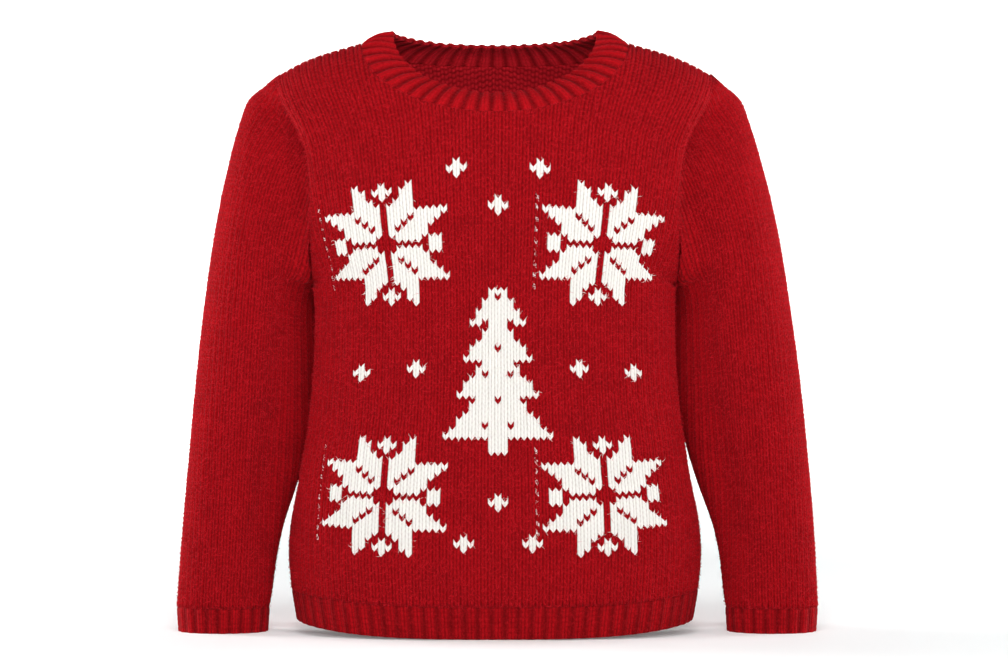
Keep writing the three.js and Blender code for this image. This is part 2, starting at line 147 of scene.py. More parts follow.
# Beside the armhole the body's rim rolls up, then turns in, and the sleeve has a valley. A tuck of the
# sleeve lies under the rim, its inner side hangs slack, and it is puffed at the shoulder.
VALLEY = {"front": 14.0, "back": 8.0}
RIM_TURN = {"front": 5.2, "back": 2.8}
RIM_WIDTH = 4.2
ROLL = {"up": 1.6, "from_seam": 9.0, "width": 6.0}
CORNER = {"down": 3.2, "width": 15.0}
VALLEY_AT = 7.0
VALLEY_WIDTH = 32.0
SLACK = 11.0
PUFF = {"up": 3.7, "courses": 6.0, "width": 4.0, "tip_down": 1.8, "tip_width": 2.5}
TUCK = 4.6
PRESSED_FROM = 48.0
PRESSED_OVER = 24.0
SEAM_WIDTH = 3.0

# Where the sleeves hang against the body, by height: how far its side is pressed in, and how far the
# sleeve fills it.
PRESSED = table(
    ("height", "body", "sleeve"),
    [
        (-223, 0, 0),
        (-200, 0, 0),
        (-175, 1.5, 2.5),
        (-150, 4.5, 7.5),
        (-130, 6.5, 10.5),
        (-110, 8, 12),
        (-75, 8.5, 12),
        (-30, 8, 11),
        (0, 5, 8.5),
        (30, 1, 3.5),
        (60, 0, 0),
        (264, 0, 0),
    ],
)

# Knitting: columns of stitches are wales and rows of them are courses.
HALF_WALES = 41
CUFF_HALF_WALES = 20
COLUMNS = 4
ROWS = 2
LEG_RISE = 0.8
COURSE_MERIDIAN = math.radians(35)
BAND_COURSES = 6
BAND_DEPTH = 22.0
WELT_NARROWS = 0.025
CUFF_NARROWS = 0.05

# A wale's relief at its edge and its three inner columns, on the body, a knit rib and a purl rib.
KNIT_WALE = np.array([-1.1, 0.5, 0.1, 0.5])
KNIT_RIB = np.array([0.0, 0.85, 0.7, 0.85])
PURL_RIB = np.array([0.0, -0.55, -0.7, -0.55])
WELT_RIBS = 0.65
NECKBAND_RIBS = 1.25
LEG_CREST = 0.16
RIB_CREST = 0.07
LEG_UNEVEN = 0.3
RIB_UNEVEN = 0.35
KNIT_NAP = 0.13
RIB_NAP = 0.1

# Brushed hairs: how many on each piece, and how long, high and wide they are.
PANEL_HAIRS = 26000
SLEEVE_HAIRS = 16000
HAIR_LENGTH = (1.6, 4.2)
HAIR_LIFT = (0.5, 1.9)
HAIR_HALF_WIDTH = 0.09

# Soft troughs in the cloth, by the face they lie on, their middle, and the lean of their length.
FOLDS = table(
    ("face", "x", "z", "lean", "length", "width", "depth"),
    [
        (-1, -112, -188, 62, 46, 13, 2.4),
        (-1, 116, -172, -58, 52, 14, 2.6),
        (-1, -104, -282, 78, 60, 15, 1.8),
        (-1, 108, -318, -80, 54, 16, 1.6),
        (-1, 30, -372, 12, 48, 18, 1.2),
        (-1, -183, -214, 22, 30, 12, 1.9),
        (-1, 190, -236, -26, 34, 12, 2),
        (-1, 206, -340, -14, 26, 10, 1.4),
        (-1, -198, -318, 18, 28, 10, 1.5),
        (1, -96, -196, 58, 54, 15, 2.5),
        (1, 104, -186, -62, 48, 14, 2.3),
        (1, -12, -262, 6, 62, 20, 2.2),
        (1, 22, -330, -8, 50, 18, 1.8),
        (1, -188, -232, 24, 32, 12, 2),
        (1, 184, -258, -20, 30, 12, 1.8),
    ],
)

# The chart: stars and a fir tree by their middle, in wales across and courses up from the welt.
STARS = table(
    ("wale", "course", "arm"),
    [
        (-16.5, 70, 22.5),
        (16.5, 70, 22.5),
        (-16.5, 21, 22.5),
        (16.5, 21, 22.5),
    ],
)
TREE = {
    "wale": 0,
    "base": 33,
    "tiers": 4,
    "tier_height": 26.0,
    "narrow": 4.0,
    "wide": 21.0,
    "step": 6.0,
    "trunk": 12.0,
}
SNOWFLAKE = 5.4
SNOW = table(
    ("wale", "course"),
    [
        (0, 76),
        (-6, 83),
        (6, 83),
        (-22, 45),
        (22, 45),
        (-13, 46),
        (13, 46),
        (-5, 12),
        (5, 12),
        (0, 20),
    ],
)


def smooth(columns, name, at):
    """A table's column as a cubic Hermite curve over its first one, with slopes from its neighbours."""
    along = next(iter(columns.values()))
    values = columns[name]
    last = len(along) - 1
    before = np.maximum(np.arange(last + 1) - 1, 0)
    after = np.minimum(np.arange(last + 1) + 1, last)
    slope = (values[after] - values[before]) / (along[after] - along[before])
    i = np.clip(np.searchsorted(along, at, side="right") - 1, 0, last - 1)
    span = along[i + 1] - along[i]
    t = np.clip((at - along[i]) / span, 0, 1)
    share = t * t * (3 - 2 * t)
    bend = span * t * (1 - t) * ((1 - t) * slope[i] - t * slope[i + 1])
    return values[i] * (1 - share) + values[i + 1] * share + bend


def unit(vectors):
    """Each vector divided by its length."""
    return vectors / np.maximum(np.linalg.norm(vectors, axis=-1, keepdims=True), 1e-12)


def run_lengths(points):
    """The distance along the second-last axis of an array of points, from 0 at its start."""
    steps = np.linalg.norm(np.diff(points, axis=-2), axis=-1)
    start = np.zeros(steps.shape[:-1] + (1,))
    return np.concatenate([start, np.cumsum(steps, axis=-1)], axis=-1)


def shoulder_line(x):
    """Height of the shoulder over x: a straight slope, and a square law beyond where it drops."""
    beyond = np.maximum(0, np.abs(x) - SHOULDER["drops_from"])
    return SHOULDER["rise"] - SHOULDER["slope"] * np.abs(x) - SHOULDER["drop"] * beyond**2


def torso(face, angle, height):
    """A point of the body: a superellipse at each height, closed over the shoulders by a second one."""
    across = np.sin(angle)
    x = smooth(SECTIONS, "half_width", height) * np.sign(across) * np.abs(across) ** (2 / SQUARENESS)
    rise = np.sin(QUARTER * np.maximum(0, height) / YOKE)
    closure = np.maximum(0, 1 - rise ** ROUNDING[face]) ** (1 / ROUNDING[face])
    depth = smooth(SECTIONS, face, height) * closure * np.abs(np.cos(angle)) ** (2 / SQUARENESS)
    dip = 1 + HEM_DIP[face] / BODY * np.cos(angle) ** 2
    z = UNDERARM_Z + np.where(height > 0, (shoulder_line(x) - UNDERARM_Z) * rise, height * dip)
    return np.stack(np.broadcast_arrays(x, FACING[face] * depth, z), -1)


def torso_normal(face, angle, height):
    """The body's outward normal: small steps round it and up it that stay within its edges, crossed."""

    def at(turn, climb):
        """The point a small step away."""
        return torso(face, np.clip(angle + turn, -QUARTER, QUARTER), np.minimum(height + climb, YOKE))

    around = unit(at(1e-3, 0) - at(-1e-3, 0))
    upward = unit(at(0, 0.05) - at(0, -0.05))
    return -FACING[face] * unit(np.cross(around, upward))


def angle_at(x, height):
    """The turn round the body at which its section reaches x."""
    share = np.minimum(1, x / smooth(SECTIONS, "half_width", height))
    return np.arcsin(share ** (SQUARENESS / 2))


def armhole_angle(height):
    """The turn at which the armhole seam crosses a height, and a quarter turn below the underarm."""
    inside = np.clip(height, 0, YOKE)
    return np.where(height > 0, angle_at(smooth(ARMHOLE, "x", inside), inside), QUARTER)


def neck_places(face, share):
    """Angles and heights along the neck seam, a quarter ellipse from the middle (0) to the shoulder (1)."""
    turn = share * QUARTER
    x = NECK_SEAM["half_width"] * np.sin(turn)
    top = shoulder_line(NECK_SEAM["half_width"])
    z = top * (1 - np.cos(turn)) - NECK_SEAM[face] * np.cos(turn)
    rise = np.minimum(1, (z - UNDERARM_Z) / (shoulder_line(x) - UNDERARM_Z))
    height = YOKE * np.arcsin(rise) / QUARTER
    return angle_at(x, height), height


def fold_depth(points, normals):
    """Soft troughs: the sum of leaning bell curves, on the face that looks the same way as the normal."""
    depth = np.zeros(points.shape[:-1])
    for face, x, z, lean, length, width, deep in zip(*FOLDS.values()):
        dx = points[..., 0] - x
        dz = points[..., 2] - z
        turn = math.radians(lean)
        along = (dx * math.sin(turn) + dz * math.cos(turn)) / length
        across = (dx * math.cos(turn) - dz * math.sin(turn)) / width
        depth += deep * np.maximum(0, face * normals[..., 1]) * np.exp(-(along**2) - across**2)
    return depth


def leg_lift(wale):
    """How far a stitch's leg climbs, in courses: nothing at the middle of a wale, most at its edges."""
    return LEG_RISE * np.abs(2 * (wale % 1) - 1)


def leg_relief(columns, rows, wale_relief):
    """The height of the legs: the wale's profile across, with a crest halfway up each course."""
    across = wale_relief[np.abs(columns) % COLUMNS]
    crest = np.where(rows % ROWS == 0, -LEG_CREST, LEG_CREST)
    return across[None, :] + crest[:, None] * np.where(columns % COLUMNS == 0, 0.5, 1)[None, :]


class TrimmedGrid:
    """A grid of wales and courses, folded back on its edge where the cloth ends, so no rim is ragged.

    reach(course) gives the last wale, and top(wale) the last course. A corner beyond either takes the
    place of the nearest one on the edge, and the cells that close up there are dropped.
    """

    def __init__(self, half, total, columns, rows, lifted, reach, top):
        last = math.ceil(half * columns - 1e-9)
        self.column = np.arange(-last, last + 1)
        self.row = np.arange(math.ceil(total * rows - 1e-9) + 1)
        step = np.arange(last + 1)
        lift = leg_lift(step / columns) if lifted else np.zeros(last + 1)
        course = self.row[:, None] / rows + np.where(self.row[:, None] > 0, lift[None, :], 0)
        wale = np.broadcast_to(step / columns, course.shape)
        ends = wale >= reach(course) - 1e-9
        ends[:, -1] = True
        end_column = ends.argmax(axis=1)
        tops = course >= top(wale) - 1e-9
        tops[-1, :] = True
        end_row = tops.argmax(axis=0)
        i = np.broadcast_to(self.row[:, None], (len(self.row), len(self.column)))
        side = np.broadcast_to(np.abs(self.column)[None, :], i.shape)
        for _ in range(3):
            i = np.minimum(i, end_row[side])
            side = np.minimum(side, end_column[i])
        signed = np.where(self.column[None, :] < 0, -side, side)
        self.index = i * len(self.column) + signed + last
        climbed = course[i, side]
        self.wale = np.minimum(side / columns, reach(climbed)) * np.sign(signed)
        self.course = np.minimum(climbed, top(np.abs(self.wale)))
        self.beside = reach(self.course) - np.abs(self.wale)
        self.above = top(np.abs(self.wale)) - self.course
        self.shift = leg_lift(self.wale) if lifted else np.zeros(i.shape)

    def cells(self):
        """The corners of every cell, anticlockwise, as numbers of grid corners."""
        n = self.index
        return np.stack([n[:-1, :-1], n[:-1, 1:], n[1:, 1:], n[1:, :-1]], -1)

    def rims(self, half, total, joined_to):
        """The corners along each edge in order, with how far round each is: one for each of four sides.

        A sheet has one edge all round. A tube, joined along its sides, has one at each end.
        """
        n = self.index
        first = np.flatnonzero(self.course[:, -1] <= joined_to + 1e-9)[-1] if joined_to else 0
        low = max(joined_to, 0)
        bottom = n[0, :-1], (self.wale[0, :-1] + half) / (2 * half)
        right = n[first:-1, -1], 1 + (self.course[first:-1, -1] - low) / (total - low)
        top = n[-1, :0:-1], 2 + (half - self.wale[-1, :0:-1]) / (2 * half)
        left = n[:first:-1, 0], 3 + (total - self.course[:first:-1, 0]) / (total - low)
        if joined_to:
            edges = [(bottom[0], 4 * bottom[1]), self.chain([right, top, left])]
        else:
            edges = [self.chain([bottom, right, top, left])]
        return [(ring[keep], key[keep]) for ring, key in edges for keep in [ring != np.roll(ring, 1)]]

    def chain(self, sides):
        """Several sides as one edge."""
        ring, key = (np.concatenate(part) for part in zip(*sides))
        return ring, np.maximum.accumulate(np.clip(key, 0, 4))

    def snap(self, joined_to, half):
        """Moves the last joined row's ends to the very corner where the sides part."""
        first = np.flatnonzero(self.course[:, -1] <= joined_to + 1e-9)[-1]
        for end, sign in ((0, -1), (-1, 1)):
            spot = self.index == self.index[first, end]
            self.course[spot] = joined_to
            self.wale[spot] = sign * half


def split_cells(cells):
    """Two triangles for each cell, without those that have closed up."""
    flat = cells.reshape(-1, 4)
    triangles = np.concatenate([flat[:, [0, 1, 2]], flat[:, [0, 2, 3]]])
    a, b, c = triangles.T
    return triangles[(a != b) & (b != c) & (c != a)]


def strip_between(outer, outer_key, inner, inner_key):
    """Triangles that join two closed rings, each corner taken in the order of how far round it is."""
    a = np.append(outer, outer[0])
    b = np.append(inner, inner[0])
    keys = np.concatenate([np.append(outer_key, 4.0), np.append(inner_key, 4.0)])
    order = np.argsort(keys, kind="stable")
    is_outer = order < len(a)
    ia = np.cumsum(is_outer) - 1
    ib = np.cumsum(~is_outer) - 1
    started = np.flatnonzero((ia >= 0) & (ib >= 0))[1:]
    on_a = started[is_outer[started]]
    on_b = started[~is_outer[started]]
    from_a = np.stack([a[ia[on_a]], a[ia[on_a] - 1], b[ib[on_a]]], -1)
    from_b = np.stack([b[ib[on_b]], a[ia[on_b]], b[ib[on_b] - 1]], -1)
    triangles = np.concatenate([from_a, from_b])
    p, q, r = triangles.T
    return triangles[(p != q) & (q != r) & (r != p)]


def add_piece(name, points, triangles, uv, yarn, finish, materials, weld=None):
    """A mesh of triangles, with a colour number on each face and a UV map whose unit is a stitch.

    points holds millimetres, and weld gives the corner that each corner is joined to.
    """
    corners = triangles if weld is None else weld[triangles]
    a, b, c = corners.T
    real = (a != b) & (b != c) & (c != a)
    corners, triangles, yarn, finish = corners[real], triangles[real], yarn[real], finish[real]
    p, q, r = (points[corners[:, k]] for k in range(3))
    if np.einsum("ij,ij->", p, np.cross(q, r)) < 0:
        corners, triangles = corners[:, ::-1], triangles[:, ::-1]
    used, compact = np.unique(corners, return_inverse=True)
    mesh = bpy.data.meshes.new(name)
    mesh.vertices.add(len(used))
    mesh.vertices.foreach_set("co", (points[used] * MM).astype(np.float32).ravel())
    mesh.loops.add(corners.size)
    mesh.loops.foreach_set("vertex_index", compact.astype(np.int32).ravel())
    mesh.polygons.add(len(corners))
    mesh.polygons.foreach_set("loop_start", np.arange(0, corners.size, 3, dtype=np.int32))
    mesh.polygons.foreach_set("material_index", finish.astype(np.int32))
    mesh.uv_layers.new(name="Stitches").data.foreach_set("uv", uv[triangles].astype(np.float32).ravel())
    mesh.attributes.new("yarn", "FLOAT", "FACE").data.foreach_set("value", yarn.astype(np.float32))
    mesh.update(calc_edges=True)
    mesh.validate()
    mesh.polygons.foreach_set("use_smooth", np.ones(len(mesh.polygons), bool))
    for material in materials:
        mesh.materials.append(material)
    piece = bpy.data.objects.new(name, mesh)
    bpy.context.scene.collection.objects.link(piece)
    return piece


def cloth_shell(name, form, outer, inner, depth, chart, materials):
    """A closed shell: a stitched outside, a plain inside, and a rim between their edges.

    form.surface(grid) gives the places and normals of a grid, and chart(wale, course) its cells' yarn.
    """
    points, shares, cells, grids = [], [], [], (outer, inner)
    for grid, depths in zip(grids, depth):
        places, normals = form.surface(grid)
        points.append((places + normals * depths[..., None]).reshape(-1, 3))
        shares.append(np.stack([grid.wale, grid.course - grid.shift], -1).reshape(-1, 2))
        cells.append(grid.cells())
    offset = len(points[0])
    outer_faces = split_cells(cells[0])
    inner_faces = split_cells(cells[1])[:, ::-1] + offset
    rims = [grid.rims(form.half, form.total, form.joined_to) for grid in grids]
    edge = np.concatenate([strip_between(*rim, own + offset, key) for rim, (own, key) in zip(*rims)])
    uv = np.concatenate(shares)
    middle = uv[outer_faces].mean(axis=1)
    yarn = chart(middle[:, 0], middle[:, 1])
    triangles = np.concatenate([outer_faces, inner_faces, edge])
    colour = np.concatenate([yarn, np.zeros(len(inner_faces) + len(edge))])
    finish = np.concatenate([np.zeros(len(outer_faces)), np.ones(len(inner_faces)), np.zeros(len(edge))])
    weld = None
    if form.joined_to:
        weld = np.arange(len(uv))
        for grid, start in zip(grids, (0, offset)):
            joined = grid.course[:, -1] <= form.joined_to + 1e-9
            weld[grid.index[joined, 0] + start] = grid.index[joined, -1] + start
    return add_piece(name, np.concatenate(points), triangles, uv, colour, finish, materials, weld)


def plain_yarn(wale, course):
    """Red yarn all over."""
    return np.zeros(len(wale))


class Panel:
    """The front or back, read by wale and course.

    Below the chest a wale keeps its turn round the body. Above it, wales fan out so that the last ones
    run beside the armhole seam up to the shoulder.
    """

    joined_to = 0

    def __init__(self, face, knit):
        self.face = face
        self.half = HALF_WALES
        angles = np.linspace(0, QUARTER, 2001)
        round_body = run_lengths(torso(face, angles, np.zeros(1)))
        self.angles = angles
        self.wales = round_body / round_body[-1] * HALF_WALES
        heights = np.linspace(-BODY, YOKE, 2001)
        self.heights = heights
        self.courses = run_lengths(torso(face, np.full(1, COURSE_MERIDIAN), heights)) / (knit.course / MM)
        self.total = self.courses[-1]
        self.armhole = armhole_angle(heights)
        self.narrowest = self.armhole.argmin()
        self.fan = np.where(np.arange(2001) > self.narrowest, self.armhole - self.armhole.min(), 0)
        self.last_wale = np.interp(self.armhole.min(), self.angles, self.wales)
        neck_angle, neck_height = neck_places(face, np.linspace(0, 1, 401))
        self.neck_course = np.interp(neck_height, self.heights, self.courses)
        self.neck_wale = np.interp(neck_angle, self.angles, self.wales)
        for _ in range(8):
            spread = self.spread(self.neck_wale, neck_height)
            self.neck_wale = np.interp(neck_angle - spread, self.angles, self.wales)

    def spread(self, wale, height):
        """How far a wale fans out at a height: as the square of its share of the way to the armhole."""
        return np.interp(height, self.heights, self.fan) * (np.abs(wale) / self.last_wale) ** 2

    def reach(self, course):
        """The last wale of a course: at the armhole's turn, or always the same one once they fan out."""
        height = np.interp(course, self.courses, self.heights)
        fanned = height > self.heights[self.narrowest]
        return np.where(fanned, self.last_wale, np.interp(armhole_angle(height), self.angles, self.wales))

    def top(self, wale):
        """The last course of a wale, at the neck's seam or the shoulder."""
        return np.interp(np.abs(wale), self.neck_wale, self.neck_course, right=self.total)

    def angle_height(self, wale, course):
        """A stitch's turn round the body, with what it fans out, and its height."""
        height = np.interp(course, self.courses, self.heights)
        turn = np.interp(np.abs(wale), self.wales, self.angles) + self.spread(wale, height)
        return np.where(wale < 0, -1, 1) * turn, height

    def surface(self, grid):
        """Points and normals on the body."""
        angle, height = self.angle_height(grid.wale, grid.course)
        return torso(self.face, angle, height), torso_normal(self.face, angle, height)


def bell(distance, width):
    """A bell curve: 1 at no distance, and a third at its width."""
    return np.exp(-((distance / width) ** 2))


def ease(share):
    """From 0 to 1 without a corner, for a share that is held between them."""
    held = np.clip(share, 0, 1)
    return held * held * (3 - 2 * held)


def uneven(columns, rows, seed):
    """Numbers from -1 to 1 that look random but are the same each time: the fraction of a large sine."""
    wave = np.sin(columns * 12.9898 + rows * 78.233 + seed * 37.719) * 43758.5453
    return 2 * (wave % 1) - 1


def panel_edges(panel, grid, knit):
    """Height of the cloth beside a panel's seams: drawn in at each, with a soft roll by the armhole.

    Below the underarm the side is pressed in by the sleeve that hangs against it.
    """
    beside = grid.beside * knit.wale / MM
    above = grid.above * knit.course / MM
    height = np.interp(grid.course, panel.courses, panel.heights)
    yoke = ease(height / 90)
    tip = ease((grid.above - 5) / 26)
    corner = CORNER["down"] * bell(above, CORNER["width"]) * bell(beside, CORNER["width"])
    raised = ROLL["up"] * bell(beside - ROLL["from_seam"], ROLL["width"])
    roll = yoke * tip * (raised - RIM_TURN[panel.face] * bell(beside, RIM_WIDTH)) - corner
    pressed = smooth(PRESSED, "body", height) * ease((PRESSED_FROM - beside) / PRESSED_OVER)
    seam = np.maximum(bell(beside, SEAM_WIDTH) * (1 - yoke), 0.6 * bell(above, SEAM_WIDTH))
    return roll - pressed - knit.seam_dip / MM * seam


def sleeve_edges(sleeve, grid, knit):
    """Height of a sleeve's cloth over its plain form.

    It has a valley where it meets the body, hangs slack on its inner side, fills the pressed side of
    the body, and is puffed at the shoulder.
    """
    beside = grid.beside * knit.wale / MM
    turn, along = sleeve.turn_along(grid.wale, grid.course)
    height = sleeve.place(turn, along)[..., 2] - UNDERARM_Z
    on_cap = ease((grid.course - sleeve.joined_to + 3) / 4)
    cap = on_cap * ease(height / 60)
    tip = ease((sleeve.reach(grid.course) - 5) / 11)
    near = 5 + 2.9 * ease(height / 90)
    from_valley = beside - VALLEY_AT
    slope = np.where(from_valley < 0, bell(from_valley, near), bell(from_valley, VALLEY_WIDTH))
    valley = cap * tip * np.where(turn < 0, VALLEY["back"], VALLEY["front"]) * slope
    free = np.clip(tip, 0.2, 1) * (1 - on_cap * bell(beside, 16))
    slack = SLACK * ease(grid.course / 30) * free * bell(np.abs(turn) - 2.4, 0.6)
    filled = smooth(PRESSED, "sleeve", height) * bell(np.abs(turn) - math.pi, 0.7)
    from_tip = sleeve.total - grid.course
    raised = PUFF["up"] * bell(from_tip - PUFF["courses"], PUFF["width"])
    puff = bell(turn, 0.9) * (raised - PUFF["tip_down"] * bell(from_tip, PUFF["tip_width"]))
    return puff + filled - valley - slack - (1 - cap) * 0.6 * bell(beside, SEAM_WIDTH)


def fold_freedom(grid):
    """0 on an edge of the cloth and 1 from a few stitches inside it."""
    nearest = np.minimum(np.minimum(grid.beside * 1.3, grid.above), grid.course)
    return np.clip(nearest / 8, 0, 1)


def outer_depth(form, grid, knit, edges):
    """The outside's relief: legs that fade into the seams, with the seams' own form, less the folds.

    Each leg is a little higher or lower than the next, and the nap roughens it at every corner.
    """
    places, normals = form.surface(grid)
    leg = np.floor_divide(grid.column, COLUMNS // 2)[None, :]
    tension = 1 + LEG_UNEVEN * uneven(leg, (grid.row // ROWS)[:, None], 1)
    nap = KNIT_NAP * uneven(grid.column[None, :], grid.row[:, None], 2)
    legs = leg_relief(grid.column, grid.row, KNIT_WALE) * knit.relief * tension + nap
    fade = np.clip(np.minimum(grid.beside, grid.above) / 0.6, 0.15, 1)
    return legs * fade + edges(form, grid, knit) - fold_freedom(grid) * fold_depth(places, normals)


def inner_depth(form, grid, knit, edges):
    """The inside lies one wall under the outside's middle."""
    places, normals = form.surface(grid)
    return edges(form, grid, knit) - WALL - fold_freedom(grid) * fold_depth(places, normals)


class Spots:
    """Single places on a form, spread evenly at random over its stitches."""

    def __init__(self, form, count, seed):
        rng = np.random.default_rng(seed)
        course = rng.uniform(0, form.total, 4 * count)
        wale = rng.uniform(-form.half, form.half, 4 * count)
        on_cloth = (np.abs(wale) < form.reach(course)) & (course < form.top(np.abs(wale)))
        self.course = course[on_cloth][:count]
        self.wale = wale[on_cloth][:count]
        self.beside = form.reach(self.course) - np.abs(self.wale)
        self.above = form.top(np.abs(self.wale)) - self.course
        self.turn = rng.uniform(0, 2 * math.pi, len(self.wale))
        self.length = rng.uniform(*HAIR_LENGTH, len(self.wale))
        self.lift = rng.uniform(*HAIR_LIFT, len(self.wale))


def brushed_nap(name, form, knit, edges, chart, count, seed, material):
    """Fine brushed hairs: ribbons of three triangles that rise, bend over and end in a point."""
    spots = Spots(form, count, seed)
    places, normals = form.surface(spots)
    lift = edges(form, spots, knit) - fold_freedom(spots) * fold_depth(places, normals)
    root = places + normals * lift[:, None]
    across = unit(np.cross(normals, [0, 0, 1.0]))
    upward = np.cross(across, normals)
    lie = across * np.cos(spots.turn)[:, None] + upward * np.sin(spots.turn)[:, None]
    side = np.cross(normals, lie) * HAIR_HALF_WIDTH
    middle = root + lie * (0.45 * spots.length)[:, None] + normals * spots.lift[:, None]
    tip = root + lie * spots.length[:, None] + normals * (0.8 * spots.lift)[:, None]
    points = np.stack([root - side, root + side, middle + side, middle - side, tip], 1).reshape(-1, 3)
    first = 5 * np.arange(len(root))[:, None]
    triangles = (first[:, :, None] + np.array([[0, 1, 2], [0, 2, 3], [3, 2, 4]])).reshape(-1, 3)
    yarn = np.repeat(chart(spots.wale, spots.course - leg_lift(spots.wale)), 3)
    uv = np.zeros((len(points), 2))
    return add_piece(name, points, triangles, uv, yarn, np.zeros(len(triangles)), [material])


def knit_cloth(name, form, knit, edges, chart, wools):
    """Knits one panel or sleeve as a shell, fine outside and plain inside."""
    shape = (form.half, form.total)
    outer = TrimmedGrid(*shape, COLUMNS, ROWS, True, form.reach, form.top)
    inner = TrimmedGrid(*shape, 1, 1, False, form.reach, form.top)
    if form.joined_to:
        outer.snap(form.joined_to, float(form.reach(form.joined_to)))
        inner.snap(form.joined_to, float(form.reach(form.joined_to)))
    depths = [outer_depth(form, outer, knit, edges), inner_depth(form, inner, knit, edges)]
    return cloth_shell(name, form, outer, inner, depths, chart, [wools["knit"], wools["purl"]])


def winter_chart(knit):
    """The yarn of each stitch on the chest: 1 is white, and a half is red with a caught white fleck.

    An eight-petal star is eight leaning diamonds. In each eighth of the plane a petal lies between the
    two lines beside the axis and the diagonal, and the two that are one arm further out. The fir tree
    is stacked tiers that widen downwards, and snow is drawn as small diamonds.
    """
    across = knit.wale / MM
    up = knit.course / MM

    def chart(wale, course):
        """The yarn where a wale and a course meet, by the middle of its stitch."""
        stitch = np.floor(wale) + 0.5
        row = np.floor(course + 0.5)
        white = np.zeros(len(wale), bool)
        for middle, centre, arm in zip(*STARS.values()):
            x = np.abs(stitch - middle) * across
            y = np.abs(row - centre) * up
            far = np.maximum(x, y)
            near = np.minimum(x, y)
            petal = (near > 1.5) & (near < arm) & (far - near > 2.2) & (far - near < arm)
            tip = np.abs(far - 1.62 * arm) + near < 0.32 * arm
            white |= petal | tip
        x = np.abs(stitch - TREE["wale"] - 0.5) * across
        y = (row - TREE["base"]) * up
        tall = TREE["tiers"] * TREE["tier_height"]
        tier = np.clip(np.floor(y / TREE["tier_height"]), 0, TREE["tiers"] - 1)
        down = 1 - (y / TREE["tier_height"] - tier)
        from_top = TREE["tiers"] - 1 - tier
        wide = TREE["wide"] + TREE["step"] * from_top
        half = TREE["narrow"] * (1 + from_top) * (1 - down) + wide * down
        inside = (y >= 0) & (y < tall) & (x < half)
        bauble = (row % 5 == 0) & (np.round(x / across + 2 * (row // 5 % 2)) % 4 == 0) & (x < half - 7)
        stem = (y < 0) & (y > -TREE["trunk"]) & (x < 6)
        white |= (inside & ~bauble) | stem
        for middle, centre in zip(*SNOW.values()):
            apart = np.abs(stitch - middle - 0.5) * across + np.abs(row - centre) * up
            white |= apart < SNOWFLAKE
        yarn = white.astype(float)
        for middle, centre, arm in zip(*STARS.values()):
            beside = np.abs((stitch - middle) * across + 2 * arm + 3) < 0.5 * across
            caught = beside & (np.abs(row - centre) * up < 1.5 * arm) & (row % 2 == 0) & (wale % 1 < 0.5)
            yarn = np.where(caught & ~white, 0.5, yarn)
        return yarn

    return chart


def by_rows(keys, values, at):
    """Reads each row of values against the same row of rising keys, as one long rising line."""
    stride = keys.max() + 1
    offset = stride * np.arange(len(keys))[:, None]
    query = np.clip(at, keys[:, :1], keys[:, -1:]) + offset
    return np.interp(query.ravel(), (keys + offset).ravel(), values.ravel()).reshape(query.shape)


def between(grid, row, column):
    """Reads a table at fractions of its rows and columns, evenly between the four nearest values."""
    row, column = np.broadcast_arrays(row, column)
    i = np.clip(row.astype(int), 0, grid.shape[0] - 2)
    j = np.clip(column.astype(int), 0, grid.shape[1] - 2)
    u, v = row - i, column - j
    low = grid[i, j] * (1 - v) + grid[i, j + 1] * v
    high = grid[i + 1, j] * (1 - v) + grid[i + 1, j + 1] * v
    return low * (1 - u) + high * u


